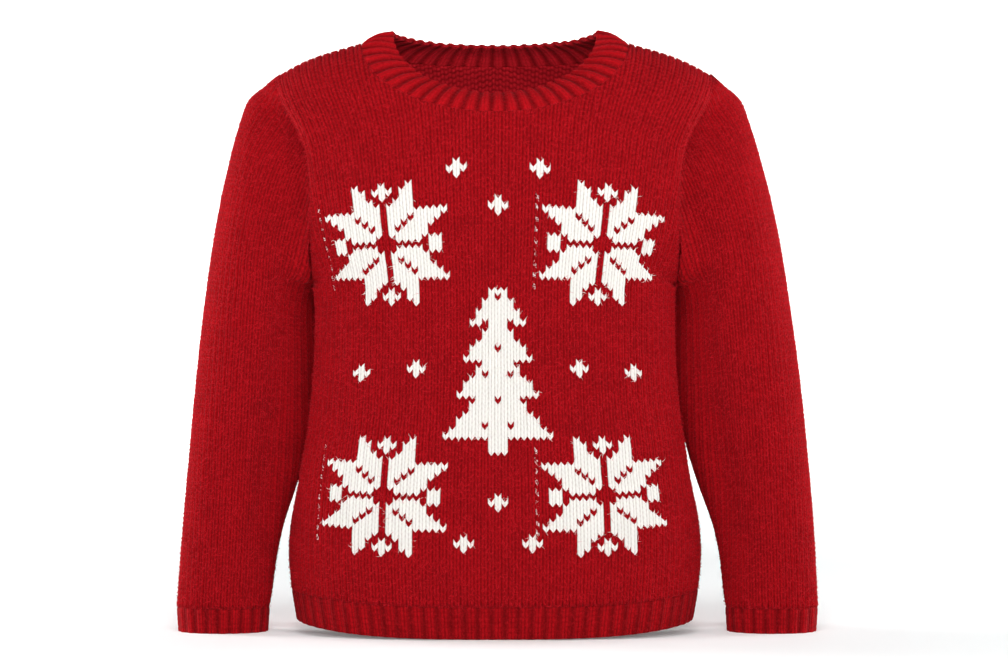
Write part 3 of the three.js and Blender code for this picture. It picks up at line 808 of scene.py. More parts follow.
class Sleeve:
    """A sleeve, read by wales from its outer line and courses from the cuff.

    A course is where a plane square to the outer line cuts the sleeve, and the wales are even distances
    round it. So wales run along the sleeve and end in the armhole seam, where the cap narrows from the
    underarm to its tip.
    """

    def __init__(self, side, knit):
        self.side = side
        self.outward = 1 if side == "left" else -1
        self.armhole_heights = {}
        for face in FACING:
            heights = np.linspace(0, YOKE, 801)
            length = run_lengths(torso(face, armhole_angle(heights), heights))
            self.armhole_heights[face] = (length / length[-1], heights)
        turns = np.linspace(0, math.pi, 97)
        alongs = np.linspace(1, 0, 201)
        climbs = {sign: self.climb(sign * turns, alongs) / (knit.course / MM) for sign in (1, -1)}
        self.total = min(climb[0, -1] for climb in climbs.values())
        self.joined_to = min(climb[-1, -1] for climb in climbs.values())
        below = np.linspace(0, self.joined_to, 101)
        self.stations = np.concatenate([below, np.linspace(self.joined_to, self.total, 81)[1:]])
        self.tables = {}
        girths = []
        for sign, climb in climbs.items():
            ends = np.maximum.accumulate(climb[::-1, -1])
            last = np.interp(self.stations, ends, turns[::-1])
            last = np.where(self.stations <= self.joined_to, math.pi, last)
            turn = last[:, None] * np.linspace(0, 1, 65)
            rows = by_rows(climb, np.broadcast_to(alongs, climb.shape), self.stations[None, :])
            along = between(rows.T, np.arange(len(self.stations))[:, None], turn / math.pi * 96)
            along[self.stations >= self.joined_to, -1] = 0
            girth = run_lengths(self.place(sign * turn, along))
            girths.append(girth[:, -1])
            share = girth / np.maximum(girth[:, -1:], 1e-9) + np.arange(65) * 1e-9
            even = np.linspace(0, 1, 129)[None, :]
            self.tables[sign] = (by_rows(share, turn, even), by_rows(share, along, even))
        count = np.mean(girths, axis=0) / (knit.wale / MM)
        missing = (CUFF_HALF_WALES - count[0]) * np.clip(1 - self.stations / self.joined_to, 0, 1)
        self.counts = count + missing
        self.counts[-1] = 0
        self.half = self.counts.max()

    def climb(self, turns, alongs):
        """How far up the outer line each point lies: the foot of its perpendicular, seen from the front."""
        line = self.place(np.zeros(1), alongs)[..., [0, 2]]
        length = run_lengths(line)
        tangent = unit(np.gradient(line, axis=0))
        points = self.place(turns[:, None], alongs[None, :])[..., [0, 2]]
        apart = points[:, :, None, :] - line
        nearest = np.square(apart).sum(axis=-1).argmin(axis=-1)
        beyond = np.sum((points - line[nearest]) * tangent[nearest], axis=-1)
        climb = length[nearest] + beyond
        climb = climb - climb[:, :1] * alongs[None, :] ** 2
        return np.maximum.accumulate(climb + np.arange(len(alongs)) * 1e-6, axis=1)

    def seat(self, turn):
        """The armhole point that a turn starts from, at even distances down the seam."""
        share = 1 - np.abs(turn) / math.pi
        points = {}
        for face, (length, heights) in self.armhole_heights.items():
            height = np.interp(share, length, heights)
            points[face] = torso(face, armhole_angle(height), height)
        point = np.where((turn >= 0)[..., None], points["front"], points["back"])
        return point * np.array([self.outward, 1, 1])

    def section(self, turn, along):
        """An oval: between the inner and outer line by the turn's cosine, and forward by its sine."""

        def read(name):
            """A measure of the sleeve at these places along it."""
            return smooth(SLEEVE, name, along)

        share = (1 + np.cos(turn)) / 2
        inner_x = self.outward * read(self.side + "_inner")
        outer_x = self.outward * read(self.side + "_outer")
        x = inner_x + (outer_x - inner_x) * share
        y = read("centre_y") - read("half_depth") * np.sin(turn)
        z = read("inner_z") + (read("outer_z") - read("inner_z")) * share
        return np.stack(np.broadcast_arrays(x, y, z), -1)

    def place(self, turn, along):
        """A section's point, drawn to the armhole by the square of what is left of the blend."""
        held = np.maximum(0, 1 - along / ARMHOLE_BLEND) ** 2
        drift = self.seat(turn) - self.section(turn, np.zeros(1))
        return self.section(turn, along) + drift * held[..., None]

    def reach(self, course):
        """The last wale of a course, where the two halves of the sleeve meet or the armhole ends it."""
        return np.interp(course, self.stations, self.counts)

    def top(self, wale):
        """The last course of a wale: the sleeve's last one, as reach alone shapes the cap."""
        return np.full(np.shape(wale), self.total)

    def turn_along(self, wale, course):
        """A stitch's turn and its way down the sleeve, from its share of the half girth."""
        share = np.clip(np.abs(wale) / np.maximum(self.reach(course), 1e-9), 0, 1) * 128
        row = np.interp(course, self.stations, np.arange(len(self.stations)))
        (front_turn, front_along), (back_turn, back_along) = self.tables[1], self.tables[-1]
        turn = np.where(wale >= 0, between(front_turn, row, share), -between(back_turn, row, share))
        return turn, np.where(wale >= 0, between(front_along, row, share), between(back_along, row, share))

    def surface(self, grid):
        """Points and normals, with the armhole edge tucked a little way under the body."""
        turn, along = self.turn_along(grid.wale, grid.course)
        places = self.place(turn, along)
        tucked = unit(self.place(turn, np.zeros(1)) - self.place(turn, np.full(1, 0.02)))
        near = bell(grid.beside, 1.3) * np.clip((grid.course - self.joined_to) / 4, 0, 1)
        return places + tucked * (TUCK * near)[..., None], self.normal(turn, along)

    def normal(self, turn, along):
        """The outward normal, from small steps round the sleeve and down it."""
        low = np.clip(along - 4e-3, 0, 1)
        high = np.clip(along + 4e-3, 0, 1)
        around = unit(self.place(turn + 4e-3, along) - self.place(turn - 4e-3, along))
        down = unit(self.place(turn, high) - self.place(turn, low))
        return self.outward * unit(np.cross(around, down))


def rib_relief(column, row, strength):
    """The ribs' height: knit and purl wales in turn, with a small crest on each course of the knit ones."""
    tight = 1 + RIB_UNEVEN * uneven(column // COLUMNS, 0, 6)
    rib = strength * tight * np.concatenate([KNIT_RIB, PURL_RIB])[column % (2 * COLUMNS)]
    knit = (column % (2 * COLUMNS) > 0) & (column % (2 * COLUMNS) < COLUMNS)
    crest = np.where(row % ROWS == 0, -RIB_CREST, RIB_CREST)
    nap = RIB_NAP * uneven(column[None, :], row[:, None], 5)
    return rib[None, :] + crest[:, None] * np.where(knit, 1, -0.6)[None, :] + nap


def band_profile(depth, courses):
    """A band's section, from its seam down the outside, round the lip and up the inside.

    Gives for each row how far down it is, from 0 to 1 and a little over at the lip, how far it lies
    under the outside, from 0 to 1 for the whole wall, and how much of the ribs shows there.
    """
    rows = courses * ROWS
    turn = np.linspace(0, math.pi, 7)[1:-1]
    lip = 1 + WALL / 2 / depth * np.sin(turn)
    down = np.concatenate([np.linspace(0, 1, rows + 1), lip, np.linspace(1, 0, rows + 1)])
    under = np.concatenate([np.zeros(rows + 1), (1 - np.cos(turn)) / 2, np.ones(rows + 1)])
    ribs = np.concatenate([np.ones(rows + 1), 1 - 0.55 * (1 - np.cos(turn)) / 2, np.full(rows + 1, 0.45)])
    return down, under, ribs


def ribbed_band(name, seat, free, normal, swell, wales, strength, wraps, materials):
    """A band carried round its seam, each row a share of the way from the seam to the free edge.

    seat and free are the seam's and the free edge's points, a column each, and normal the way out of
    the cloth at both. swell is how far the middle stands proud along it, and strength scales the ribs.
    """
    down, under, ribs = band_profile(BAND_DEPTH, BAND_COURSES)
    share = down[:, None, None]
    out = unit(normal[0][None] * (1 - np.clip(share, 0, 1)) + normal[1][None] * np.clip(share, 0, 1))
    middle = seat[None] * (1 - share) + free[None] * share
    middle = middle + out * (swell * np.sin(math.pi * np.clip(share, 0, 1)))
    column = np.arange(len(seat))
    row = np.arange(len(down))
    relief = rib_relief(column, row, strength) * ribs[:, None]
    edge = bell(down, 0.07)[:, None] * (under < 0.5)[:, None]
    relief = relief * (1 - 0.6 * edge) - SEAM_GAP * edge
    points = middle + out * (relief - WALL * under[:, None])[..., None]
    n = np.arange(points[..., 0].size).reshape(len(down), len(seat))
    around = np.concatenate([n, n[:1]])
    cells = np.stack([around[:-1, :-1], around[1:, :-1], around[1:, 1:], around[:-1, 1:]], -1)
    triangles = split_cells(cells)
    inside = np.append(under, under[0])[:-1] > 0.6
    finish = np.tile(np.repeat(inside, len(seat) - 1), 2).astype(float)
    swapped = np.where(under > 0.5, 1, 0)[:, None]
    courses = -BAND_COURSES * down[:, None]
    uv = np.stack(np.broadcast_arrays(wales[None, :] + swapped, courses), -1).reshape(-1, 2)
    weld = np.arange(n.size)
    if wraps:
        weld[n[:, -1]] = n[:, 0]
    else:
        order = np.arange(len(down))
        zigzag = np.where(order % 2 == 0, order // 2, len(down) - 1 - order // 2)
        strip = np.stack([zigzag[:-2], zigzag[1:-1], zigzag[2:]], -1)
        strip[1::2] = strip[1::2, ::-1]
        caps = np.concatenate([n[strip, 0], n[strip, -1][:, ::-1]])
        triangles = np.concatenate([triangles, caps])
        finish = np.concatenate([finish, np.zeros(len(caps))])
    yarn = np.zeros(len(triangles))
    return add_piece(name, points.reshape(-1, 3), triangles, uv, yarn, finish, materials, weld)


def neck_edge(face, share):
    """The neckband's free edge: half an ellipse from the sweater's right (0) to its left (1)."""
    turn = QUARTER * (2 * share - 1)
    x = NECK_EDGE["half_width"] * np.sin(turn)
    y = FACING[face] * NECK_EDGE_DEPTH[face] * np.cos(turn)
    z = NECK_EDGE["height"] - NECK_EDGE_DROP[face] * np.cos(turn)
    return np.stack([x, y, z], -1)


def neck_half(face):
    """Seam points, their normals and free-edge points of one half of the neckband, at even distances."""
    share = np.linspace(-1, 1, 1601)
    angle, height = neck_places(face, np.abs(share))
    angle = angle * np.sign(share)
    seam = torso(face, angle, height)
    even = np.linspace(0, 1, NECKBAND_WALES[face] * COLUMNS + 1)
    seam_length = run_lengths(seam)
    seat_share = np.interp(even * seam_length[-1], seam_length, share)
    angle, height = neck_places(face, np.abs(seat_share))
    angle = angle * np.sign(seat_share)
    seat = torso(face, angle, height)
    normal = torso_normal(face, angle, height)
    edge_share = np.linspace(0, 1, 1601)
    edge_length = run_lengths(neck_edge(face, edge_share))
    free = neck_edge(face, np.interp(even * edge_length[-1], edge_length, edge_share))
    return seat, free, normal


def group_input(group, name, kind, default=None):
    """Adds an input to a node group."""
    item = group.interface.new_socket(name, in_out="INPUT", socket_type=kind)
    if default is not None:
        item.default_value = default


def math_node(nodes, links, operation, first, second=None, clamp=False):
    """A math node with sockets or numbers on its inputs, and its output socket."""
    node = nodes.new("ShaderNodeMath")
    node.operation = operation
    node.use_clamp = clamp
    for slot, value in zip(node.inputs, (first, second)):
        if value is None:
            continue
        if isinstance(value, (int, float)):
            slot.default_value = value
        else:
            links.new(value, slot)
    return node.outputs[0]


def wave_node(nodes, links, value, turns):
    """The sine of a value times a number."""
    return math_node(nodes, links, "SINE", math_node(nodes, links, "MULTIPLY", value, turns))


def scaled_node(nodes, links, value, factor, added=None):
    """A value times a number or a value, and another added to that."""
    product = math_node(nodes, links, "MULTIPLY", value, factor)
    return product if added is None else math_node(nodes, links, "ADD", product, added)


def stitch_group():
    """Stitches on a map whose unit is one stitch: how high they are, and how deep in a crease, where the
    wools paint shade.

    Across a wale the height is the sine of twice the way across, so there are two legs, and up a course
    it is the sine of the way up. Fine slanting lines on each leg are the twist of the yarn. A purl
    stitch is a bar that lies across, bent up and down by the sine of the way across.
    """
    group = bpy.data.node_groups.new("Stitch relief", "ShaderNodeTree")
    group_input(group, "Stitches", "NodeSocketVector")
    group_input(group, "Purl share", "NodeSocketFloat", 0.0)
    group.interface.new_socket("Height", in_out="OUTPUT", socket_type="NodeSocketFloat")
    group.interface.new_socket("Crease", in_out="OUTPUT", socket_type="NodeSocketFloat")
    nodes, links = group.nodes, group.links
    tree = (nodes, links)
    start = nodes.new("NodeGroupInput")
    end = nodes.new("NodeGroupOutput")
    split = nodes.new("ShaderNodeSeparateXYZ")
    links.new(start.outputs["Stitches"], split.inputs[0])
    wale, course = split.outputs[0], split.outputs[1]
    swing = wave_node(*tree, wale, 2 * math.pi)
    legs = math_node(*tree, "ABSOLUTE", swing)
    crests = math_node(*tree, "ABSOLUTE", wave_node(*tree, course, math.pi))
    rounded = scaled_node(*tree, math_node(*tree, "POWER", crests, 0.6), 0.5, 0.5)
    leg = math_node(*tree, "MULTIPLY", math_node(*tree, "POWER", legs, 0.6), rounded)
    slant = scaled_node(*tree, course, 3.0, scaled_node(*tree, legs, 0.7))
    twist = scaled_node(*tree, wave_node(*tree, slant, 2 * math.pi), 0.1)
    knit = scaled_node(*tree, twist, leg, leg)
    bent = scaled_node(*tree, swing, 0.16, course)
    bars = math_node(*tree, "ABSOLUTE", wave_node(*tree, bent, math.pi))
    purl = math_node(*tree, "MULTIPLY", bars, scaled_node(*tree, legs, 0.75, 0.25))
    blend = nodes.new("ShaderNodeMix")
    blend.data_type = "FLOAT"
    links.new(start.outputs["Purl share"], blend.inputs[0])
    links.new(knit, blend.inputs[2])
    links.new(purl, blend.inputs[3])
    links.new(blend.outputs[0], end.inputs["Height"])
    links.new(math_node(*tree, "SUBTRACT", 1.0, blend.outputs[0]), end.inputs["Crease"])
    return group


def fibre_group():
    """Brushed wool: fine hairs as stretched noise, and slow patches where the nap lies another way."""
    group = bpy.data.node_groups.new("Brushed wool", "ShaderNodeTree")
    group_input(group, "Place", "NodeSocketVector")
    group.interface.new_socket("Hairs", in_out="OUTPUT", socket_type="NodeSocketFloat")
    group.interface.new_socket("Patches", in_out="OUTPUT", socket_type="NodeSocketFloat")
    nodes, links = group.nodes, group.links
    start = nodes.new("NodeGroupInput")
    end = nodes.new("NodeGroupOutput")
    hairs = nodes.new("ShaderNodeTexNoise")
    hairs.inputs["Scale"].default_value = 520
    hairs.inputs["Detail"].default_value = 3
    hairs.inputs["Roughness"].default_value = 0.65
    hairs.inputs["Distortion"].default_value = 1.4
    patches = nodes.new("ShaderNodeTexNoise")
    patches.inputs["Scale"].default_value = 55
    patches.inputs["Detail"].default_value = 2
    for noise in (hairs, patches):
        links.new(start.outputs["Place"], noise.inputs["Vector"])
    links.new(hairs.outputs["Fac"], end.inputs["Hairs"])
    links.new(patches.outputs["Fac"], end.inputs["Patches"])
    return group


def mix_colour(nodes, links, share, first, second):
    """A colour mix of two colours or sockets."""
    node = nodes.new("ShaderNodeMix")
    node.data_type = "RGBA"
    for slot, value in ((node.inputs[0], share), (node.inputs[6], first), (node.inputs[7], second)):
        if isinstance(value, (int, float)):
            slot.default_value = value
        elif isinstance(value, bpy.types.NodeSocket):
            links.new(value, slot)
        else:
            slot.default_value = (*value, 1.0)
    return node.outputs[2]


def wool_material(name, yarn, lit, purl, ribs, crease, patches, depth, groups):
    """Brushed wool: stitches and hairs raise it, painted shade darkens its creases, and the nap has a soft
    sheen.

    lit is its lightest red, purl the share of purl stitches and ribs how much painted shade darkens the
    purl ribs. crease is how much painted shade darkens the creases, patches how much the nap's patches
    darken it, and depth is the stitches' height.
    """
    material = bpy.data.materials.new(name)
    material.use_nodes = True
    nodes, links = material.node_tree.nodes, material.node_tree.links
    shader = nodes["Principled BSDF"]
    uv = nodes.new("ShaderNodeUVMap")
    uv.uv_map = "Stitches"
    place = nodes.new("ShaderNodeTexCoord")
    stitches = nodes.new("ShaderNodeGroup")
    stitches.node_tree = groups["stitches"]
    links.new(uv.outputs[0], stitches.inputs["Stitches"])
    stitches.inputs["Purl share"].default_value = purl
    wool = nodes.new("ShaderNodeGroup")
    wool.node_tree = groups["wool"]
    links.new(place.outputs["Object"], wool.inputs["Place"])
    # Painted shade: the deeper a crease between stitches, the more it is darkened.
    painted_shade_mask = math_node(nodes, links, "MULTIPLY", stitches.outputs["Crease"], crease)
    # Painted shade on the rib materials: the valleys of the purl ribs are darkened as well.
    if ribs:
        split = nodes.new("ShaderNodeSeparateXYZ")
        links.new(uv.outputs[0], split.inputs[0])
        turn = math_node(nodes, links, "MULTIPLY", split.outputs[0], math.pi)
        wave = scaled_node(nodes, links, math_node(nodes, links, "SINE", turn), 0.5)
        purl_rib = math_node(nodes, links, "SUBTRACT", 0.5, wave)
        links.new(scaled_node(nodes, links, purl_rib, 0.4), stitches.inputs["Purl share"])
        deep = scaled_node(nodes, links, math_node(nodes, links, "POWER", purl_rib, 1.4), ribs)
        painted_shade_mask = math_node(nodes, links, "MAXIMUM", painted_shade_mask, deep)
    # The painted shade of the creases and purl ribs mixes the red towards the dark red.
    red = mix_colour(nodes, links, painted_shade_mask, tuple(lit), tuple(yarn.painted_shade_and_mottle_red))
    uneven_nap = math_node(nodes, links, "SUBTRACT", wool.outputs["Patches"], 0.4, True)
    patch = math_node(nodes, links, "MULTIPLY", uneven_nap, patches)
    red = mix_colour(nodes, links, patch, red, tuple(yarn.painted_shade_and_mottle_red))
    above = math_node(nodes, links, "SUBTRACT", wool.outputs["Hairs"], 0.5)
    tips = math_node(nodes, links, "MULTIPLY", above, 1.6, True)
    red = mix_colour(nodes, links, tips, red, tuple(yarn.red_tip))
    gaps = math_node(nodes, links, "MULTIPLY", above, -1.6, True)
    red = mix_colour(nodes, links, gaps, red, tuple(yarn.painted_shade_and_mottle_red))
    # The holes between white stitches turn pinkish grey: partly the red yarn showing through, partly
    # painted shade.
    red_and_shade_in_holes = math_node(nodes, links, "POWER", stitches.outputs["Crease"], 3.0)
    white = mix_colour(nodes, links, red_and_shade_in_holes, tuple(yarn.white), tuple(yarn.white_hole_red_and_shade))
    number = nodes.new("ShaderNodeAttribute")
    number.attribute_name = "yarn"
    stray = math_node(nodes, links, "MULTIPLY", above, 0.9)
    reach = math_node(nodes, links, "ADD", number.outputs["Fac"], stray)
    whiter = math_node(nodes, links, "GREATER_THAN", reach, 0.55)
    links.new(mix_colour(nodes, links, whiter, red, white), shader.inputs["Base Color"])
    shader.inputs["Roughness"].default_value = 0.92
    shader.inputs["Specular IOR Level"].default_value = 0.05
    shader.inputs["Sheen Weight"].default_value = 0.1
    shader.inputs["Sheen Roughness"].default_value = 0.45
    shader.inputs["Sheen Tint"].default_value = (1.0, 0.12, 0.15, 1.0)
    yarn_bump = nodes.new("ShaderNodeBump")
    yarn_bump.inputs["Strength"].default_value = 0.9
    yarn_bump.inputs["Distance"].default_value = depth
    links.new(stitches.outputs["Height"], yarn_bump.inputs["Height"])
    hair_bump = nodes.new("ShaderNodeBump")
    hair_bump.inputs["Strength"].default_value = 0.6
    hair_bump.inputs["Distance"].default_value = 0.0006
    links.new(wool.outputs["Hairs"], hair_bump.inputs["Height"])
    links.new(yarn_bump.outputs[0], hair_bump.inputs["Normal"])
    links.new(hair_bump.outputs[0], shader.inputs["Normal"])
    return material


def nap_material(name, yarn):
    """The brushed hairs: the tips' red, or white over the white stitches."""
    material = bpy.data.materials.new(name)
    material.use_nodes = True
    nodes, links = material.node_tree.nodes, material.node_tree.links
    shader = nodes["Principled BSDF"]
    number = nodes.new("ShaderNodeAttribute")
    number.attribute_name = "yarn"
    whiter = math_node(nodes, links, "GREATER_THAN", number.outputs["Fac"], 0.75)
    hair = mix_colour(nodes, links, whiter, tuple(yarn.red_tip), tuple(yarn.white))
    links.new(hair, shader.inputs["Base Color"])
    shader.inputs["Roughness"].default_value = 0.8
    shader.inputs["Specular IOR Level"].default_value = 0.05
    return material


def wool_finishes(settings):
    """The wools, made once: knit outside, purl inside, ribs of three kinds, and the brushed nap."""
    yarn = settings.yarn
    # Each kind: its name, lit red, purl share, the painted shade of the purl ribs and of the creases, how
    # much the nap's patches darken it, and its stitch depth.
    kinds = {
        "knit": ("Red wool knit", yarn.red, 0.0, 0.0, 0.95, 0.7, 0.001),
        "purl": ("Red wool purl", yarn.red_tip, 1.0, 0.0, 0.7, 0.5, 0.0006),
        "rib": ("Red wool rib", yarn.red_rib, 0.0, 0.85, 0.4, 0.4, 0.0006),
        "lining": ("Red wool rib inside", yarn.red_tip, 0.0, 0.8, 0.5, 0.5, 0.0006),
        "welt": ("Red wool welt", yarn.red, 0.0, 0.85, 0.8, 1.0, 0.0008),
    }
    groups = {}
    makers = (("stitches", stitch_group, "Stitch relief"), ("wool", fibre_group, "Brushed wool"))
    for key, maker, title in makers:
        groups[key] = bpy.data.node_groups.get(title) or maker()
    found = {}
    for kind, (name, *looks) in kinds.items():
        found[kind] = bpy.data.materials.get(name) or wool_material(name, yarn, *looks, groups)
    found["nap"] = bpy.data.materials.get("Wool nap") or nap_material("Wool nap", yarn)
    return found


def floor_material(settings):
    """A pale floor that glows white far out, where it rises: the glow grows with the distance."""
    material = bpy.data.materials.new("Pale floor")
    material.use_nodes = True
    nodes, links = material.node_tree.nodes, material.node_tree.links
    shader = nodes["Principled BSDF"]
    shader.inputs["Base Color"].default_value = (*settings.floor, 1)
    shader.inputs["Roughness"].default_value = 0.8
    place = nodes.new("ShaderNodeTexCoord")
    distance = nodes.new("ShaderNodeVectorMath")
    distance.operation = "LENGTH"
    links.new(place.outputs["Object"], distance.inputs[0])
    outward = math_node(nodes, links, "SUBTRACT", distance.outputs["Value"], settings.glow_from)
    far = math_node(nodes, links, "DIVIDE", outward, settings.glow_width, True)
    near, out = (settings.floor_glow,) * 3, (settings.backdrop_glow,) * 3
    links.new(mix_colour(nodes, links, far, near, out), shader.inputs["Emission Color"])
    shader.inputs["Emission Strength"].default_value = 1
    return material


def add_floor(floor_z, settings):
    """A round flat floor whose rim sweeps up by a quarter circle into a low wall all round."""
    flat, bend, wall = 5.0, 0.6, 1.7
    turn = np.linspace(0, QUARTER, 13)
    radius = np.concatenate([[0.01, 2.0], flat + bend * np.sin(turn), [flat + bend]])
    height = np.concatenate([[0.0, 0.0], bend * (1 - np.cos(turn)), [wall]]) + floor_z
    around = np.linspace(0, 4 * QUARTER, 97)[:-1]
    x = radius[:, None] * np.cos(around)
    y = radius[:, None] * np.sin(around)
    points = np.stack(np.broadcast_arrays(x, y, height[:, None]), -1).reshape(-1, 3)
    n = np.arange(len(points)).reshape(len(radius), len(around))
    onward = np.roll(n, -1, axis=1)
    faces = np.stack([n[:-1], n[1:], onward[1:], onward[:-1]], -1).reshape(-1, 4)
    mesh = bpy.data.meshes.new("floor")
    mesh.from_pydata(points.tolist(), [], faces.tolist() + [n[0].tolist()])
    mesh.polygons.foreach_set("use_smooth", np.ones(len(mesh.polygons), bool))
    mesh.materials.append(floor_material(settings))
    floor = bpy.data.objects.new("floor", mesh)
    bpy.context.scene.collection.objects.link(floor)


COLOUR = {"size": 3, "subtype": "COLOR", "min": 0, "max": 1}
DISTANCE = {"subtype": "DISTANCE", "unit": "LENGTH"}


class SweaterKnit(bpy.types.PropertyGroup):
    """Sizes of the knitting."""

    wale: bpy.props.FloatProperty(
        name="Stitch width",
        description="Width of one stitch on the body",
        default=0.00485,
        **DISTANCE,
    )
    course: bpy.props.FloatProperty(
        name="Stitch height",
        description="Height of one row of stitches",
        default=0.00365,
        **DISTANCE,
    )
    seam_dip: bpy.props.FloatProperty(
        name="Seam depth",
        description="How far a seam is drawn into the cloth",
        default=0.0012,
        **DISTANCE,
    )
    relief: bpy.props.FloatProperty(
        name="Stitch relief",
        description="How strongly the stitches stand out",
        default=1.0,
        min=0.0,
        max=2.0,
    )


class SweaterYarn(bpy.types.PropertyGroup):
    """Colours of the yarn, and the painted shade between its stitches."""

    red: bpy.props.FloatVectorProperty(
        name="Red",
        description="Red yarn in the light",
        default=(0.34, 0.0025, 0.0055),
        **COLOUR,
    )
    red_rib: bpy.props.FloatVectorProperty(
        name="Red of the ribs",
        description="Red yarn on the neckband",
        default=(0.38, 0.0032, 0.0066),
        **COLOUR,
    )
    # Painted shade: the dark red that creases and purl ribs are mixed towards; random darker patches and
    # hairs use it too.
    painted_shade_and_mottle_red: bpy.props.FloatVectorProperty(
        name="Red in creases",
        description="Red yarn between stitches",
        default=(0.1, 0.0006, 0.0014),
        **COLOUR,
    )
    red_tip: bpy.props.FloatVectorProperty(
        name="Red hairs",
        description="Ends of the brushed red hairs",
        default=(0.52, 0.01, 0.018),
        **COLOUR,
    )
    white: bpy.props.FloatVectorProperty(
        name="White",
        description="White yarn in the light",
        default=(0.8, 0.78, 0.74),
        **COLOUR,
    )
    # The holes between white stitches: partly the red yarn showing through, partly painted shade.
    white_hole_red_and_shade: bpy.props.FloatVectorProperty(
        name="White in creases",
        description="White yarn between stitches",
        default=(0.42, 0.3, 0.28),
        **COLOUR,
    )


class SweaterStage(bpy.types.PropertyGroup):
    """The floor, the lights and the camera."""

    floor: bpy.props.FloatVectorProperty(
        name="Floor",
        description="Colour of the floor and backdrop",
        default=(0.92, 0.95, 0.95),
        **COLOUR,
    )
    daylight: bpy.props.FloatProperty(
        name="Daylight",
        description="Strength of the even light all round",
        default=0.03,
        min=0,
    )
    front_power: bpy.props.FloatProperty(
        name="Front light",
        description="Power of the light beside the camera",
        default=32,
        min=0,
        unit="POWER",
    )
    rim_power: bpy.props.FloatProperty(
        name="Rim lights",
        description="Power of the two lights beside the sweater",
        default=52,
        min=0,
        unit="POWER",
    )
    floor_glow: bpy.props.FloatProperty(
        name="Floor glow",
        description="Light that the floor gives by itself near the sweater",
        default=0.12,
        min=0,
        max=1,
    )
    backdrop_glow: bpy.props.FloatProperty(
        name="Backdrop glow",
        description="Light that the white backdrop gives by itself",
        default=1.0,
        min=0,
        max=1,
    )
    glow_from: bpy.props.FloatProperty(
        name="Glow from",
        description="Distance at which the floor starts to glow more",
        default=0.8,
        min=0,
        unit="LENGTH",
    )
    glow_width: bpy.props.FloatProperty(
        name="Glow width",
        description="Distance over which the floor's glow grows",
        default=1.2,
        min=0.01,
        unit="LENGTH",
    )
    lens: bpy.props.FloatProperty(
        name="Lens",
        description="Focal length in millimetres",
        default=95.9,
        min=10,
    )
    camera_place: bpy.props.FloatVectorProperty(
        name="Camera",
        description="Where the camera stands",
        default=(0.0067, -2.0, -0.217),
        size=3,
        subtype="TRANSLATION",
        unit="LENGTH",
    )


class Settings:
    """The scene's sweater settings under short names."""

    def __init__(self, scene):
        self.knit = scene.sweater_knit
        self.yarn = scene.sweater_yarn
        self.stage = scene.sweater_stage


def dress(piece, node):
    """Hangs a piece on the root and hides the plain part that it stands in for."""
    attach(piece, "root")
    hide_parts(node)


def knit_and_brush(form, node, edges, chart, hairs, seed, settings):
    """Knits a panel or sleeve, hangs it in place of its plain part, and brushes its nap up."""
    knit = settings.knit
    wools = wool_finishes(settings)
    piece = knit_cloth("knit_" + node, form, knit, edges, chart, wools)
    dress(piece, node)
    nap = brushed_nap("nap_" + node, form, knit, edges, chart, hairs, seed, wools["nap"])
    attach(nap, "root")


class SWEATER_OT_knit_panels(bpy.types.Operator):
    """Knits the front, with its chart, and the back"""

    bl_idname = "sweater.knit_panels"
    bl_label = "Knit the front and back"

    def execute(self, context):
        settings = Settings(context.scene)
        for face in FACING:
            chart = winter_chart(settings.knit) if face == "front" else plain_yarn
            panel = Panel(face, settings.knit)
            knit_and_brush(panel, face, panel_edges, chart, PANEL_HAIRS, 3, settings)
        return {"FINISHED"}


class SWEATER_OT_knit_sleeves(bpy.types.Operator):
    """Knits both sleeves up from the cuff, with increases at the seam"""

    bl_idname = "sweater.knit_sleeves"
    bl_label = "Knit the sleeves"

    def execute(self, context):
        settings = Settings(context.scene)
        for side in ("left", "right"):
            node = "sleeve_" + side
            form = Sleeve(side, settings.knit)
            knit_and_brush(form, node, sleeve_edges, plain_yarn, SLEEVE_HAIRS, 4, settings)
        return {"FINISHED"}


class SWEATER_OT_knit_bands(bpy.types.Operator):
    """Knits the ribbed welts and cuffs down from the edges of the body and sleeves"""

    bl_idname = "sweater.knit_bands"
    bl_label = "Knit the welts and cuffs"

    def execute(self, context):
        settings = Settings(context.scene)
        knit = settings.knit
        wools = wool_finishes(settings)
        rib = [wools["welt"], wools["lining"]]
        for face in FACING:
            panel = Panel(face, knit)
            wales = np.arange(-HALF_WALES * COLUMNS, HALF_WALES * COLUMNS + 1) / COLUMNS
            angle, height = panel.angle_height(wales, np.zeros(len(wales)))
            seat = torso(face, angle, height)
            normal = torso_normal(face, angle, height)
            free = seat * np.array([1 - WELT_NARROWS, 1 - WELT_NARROWS, 1]) - np.array([0, 0, BAND_DEPTH])
            name = "rib_hem_" + face
            piece = ribbed_band(name, seat, free, (normal, normal), 0, wales, WELT_RIBS, False, rib)
            dress(piece, "hem_" + face)
        for side in ("left", "right"):
            sleeve = Sleeve(side, knit)
            wales = np.arange(-CUFF_HALF_WALES * COLUMNS, CUFF_HALF_WALES * COLUMNS + 1) / COLUMNS
            turn, along = sleeve.turn_along(wales, np.zeros(len(wales)))
            seat = sleeve.place(turn, along)
            normal = sleeve.normal(turn, np.ones(len(wales)))
            centre = sleeve.section(np.array([0, math.pi]), np.ones(2)).mean(axis=0)
            free = centre + (seat - centre) * np.array([1 - CUFF_NARROWS, 1 - CUFF_NARROWS, 1])
            free = free - np.array([0, 0, BAND_DEPTH])
            name = "rib_cuff_" + side
            piece = ribbed_band(name, seat, free, (normal, normal), 0, wales, WELT_RIBS, True, rib)
            dress(piece, "cuff_" + side)
        return {"FINISHED"}


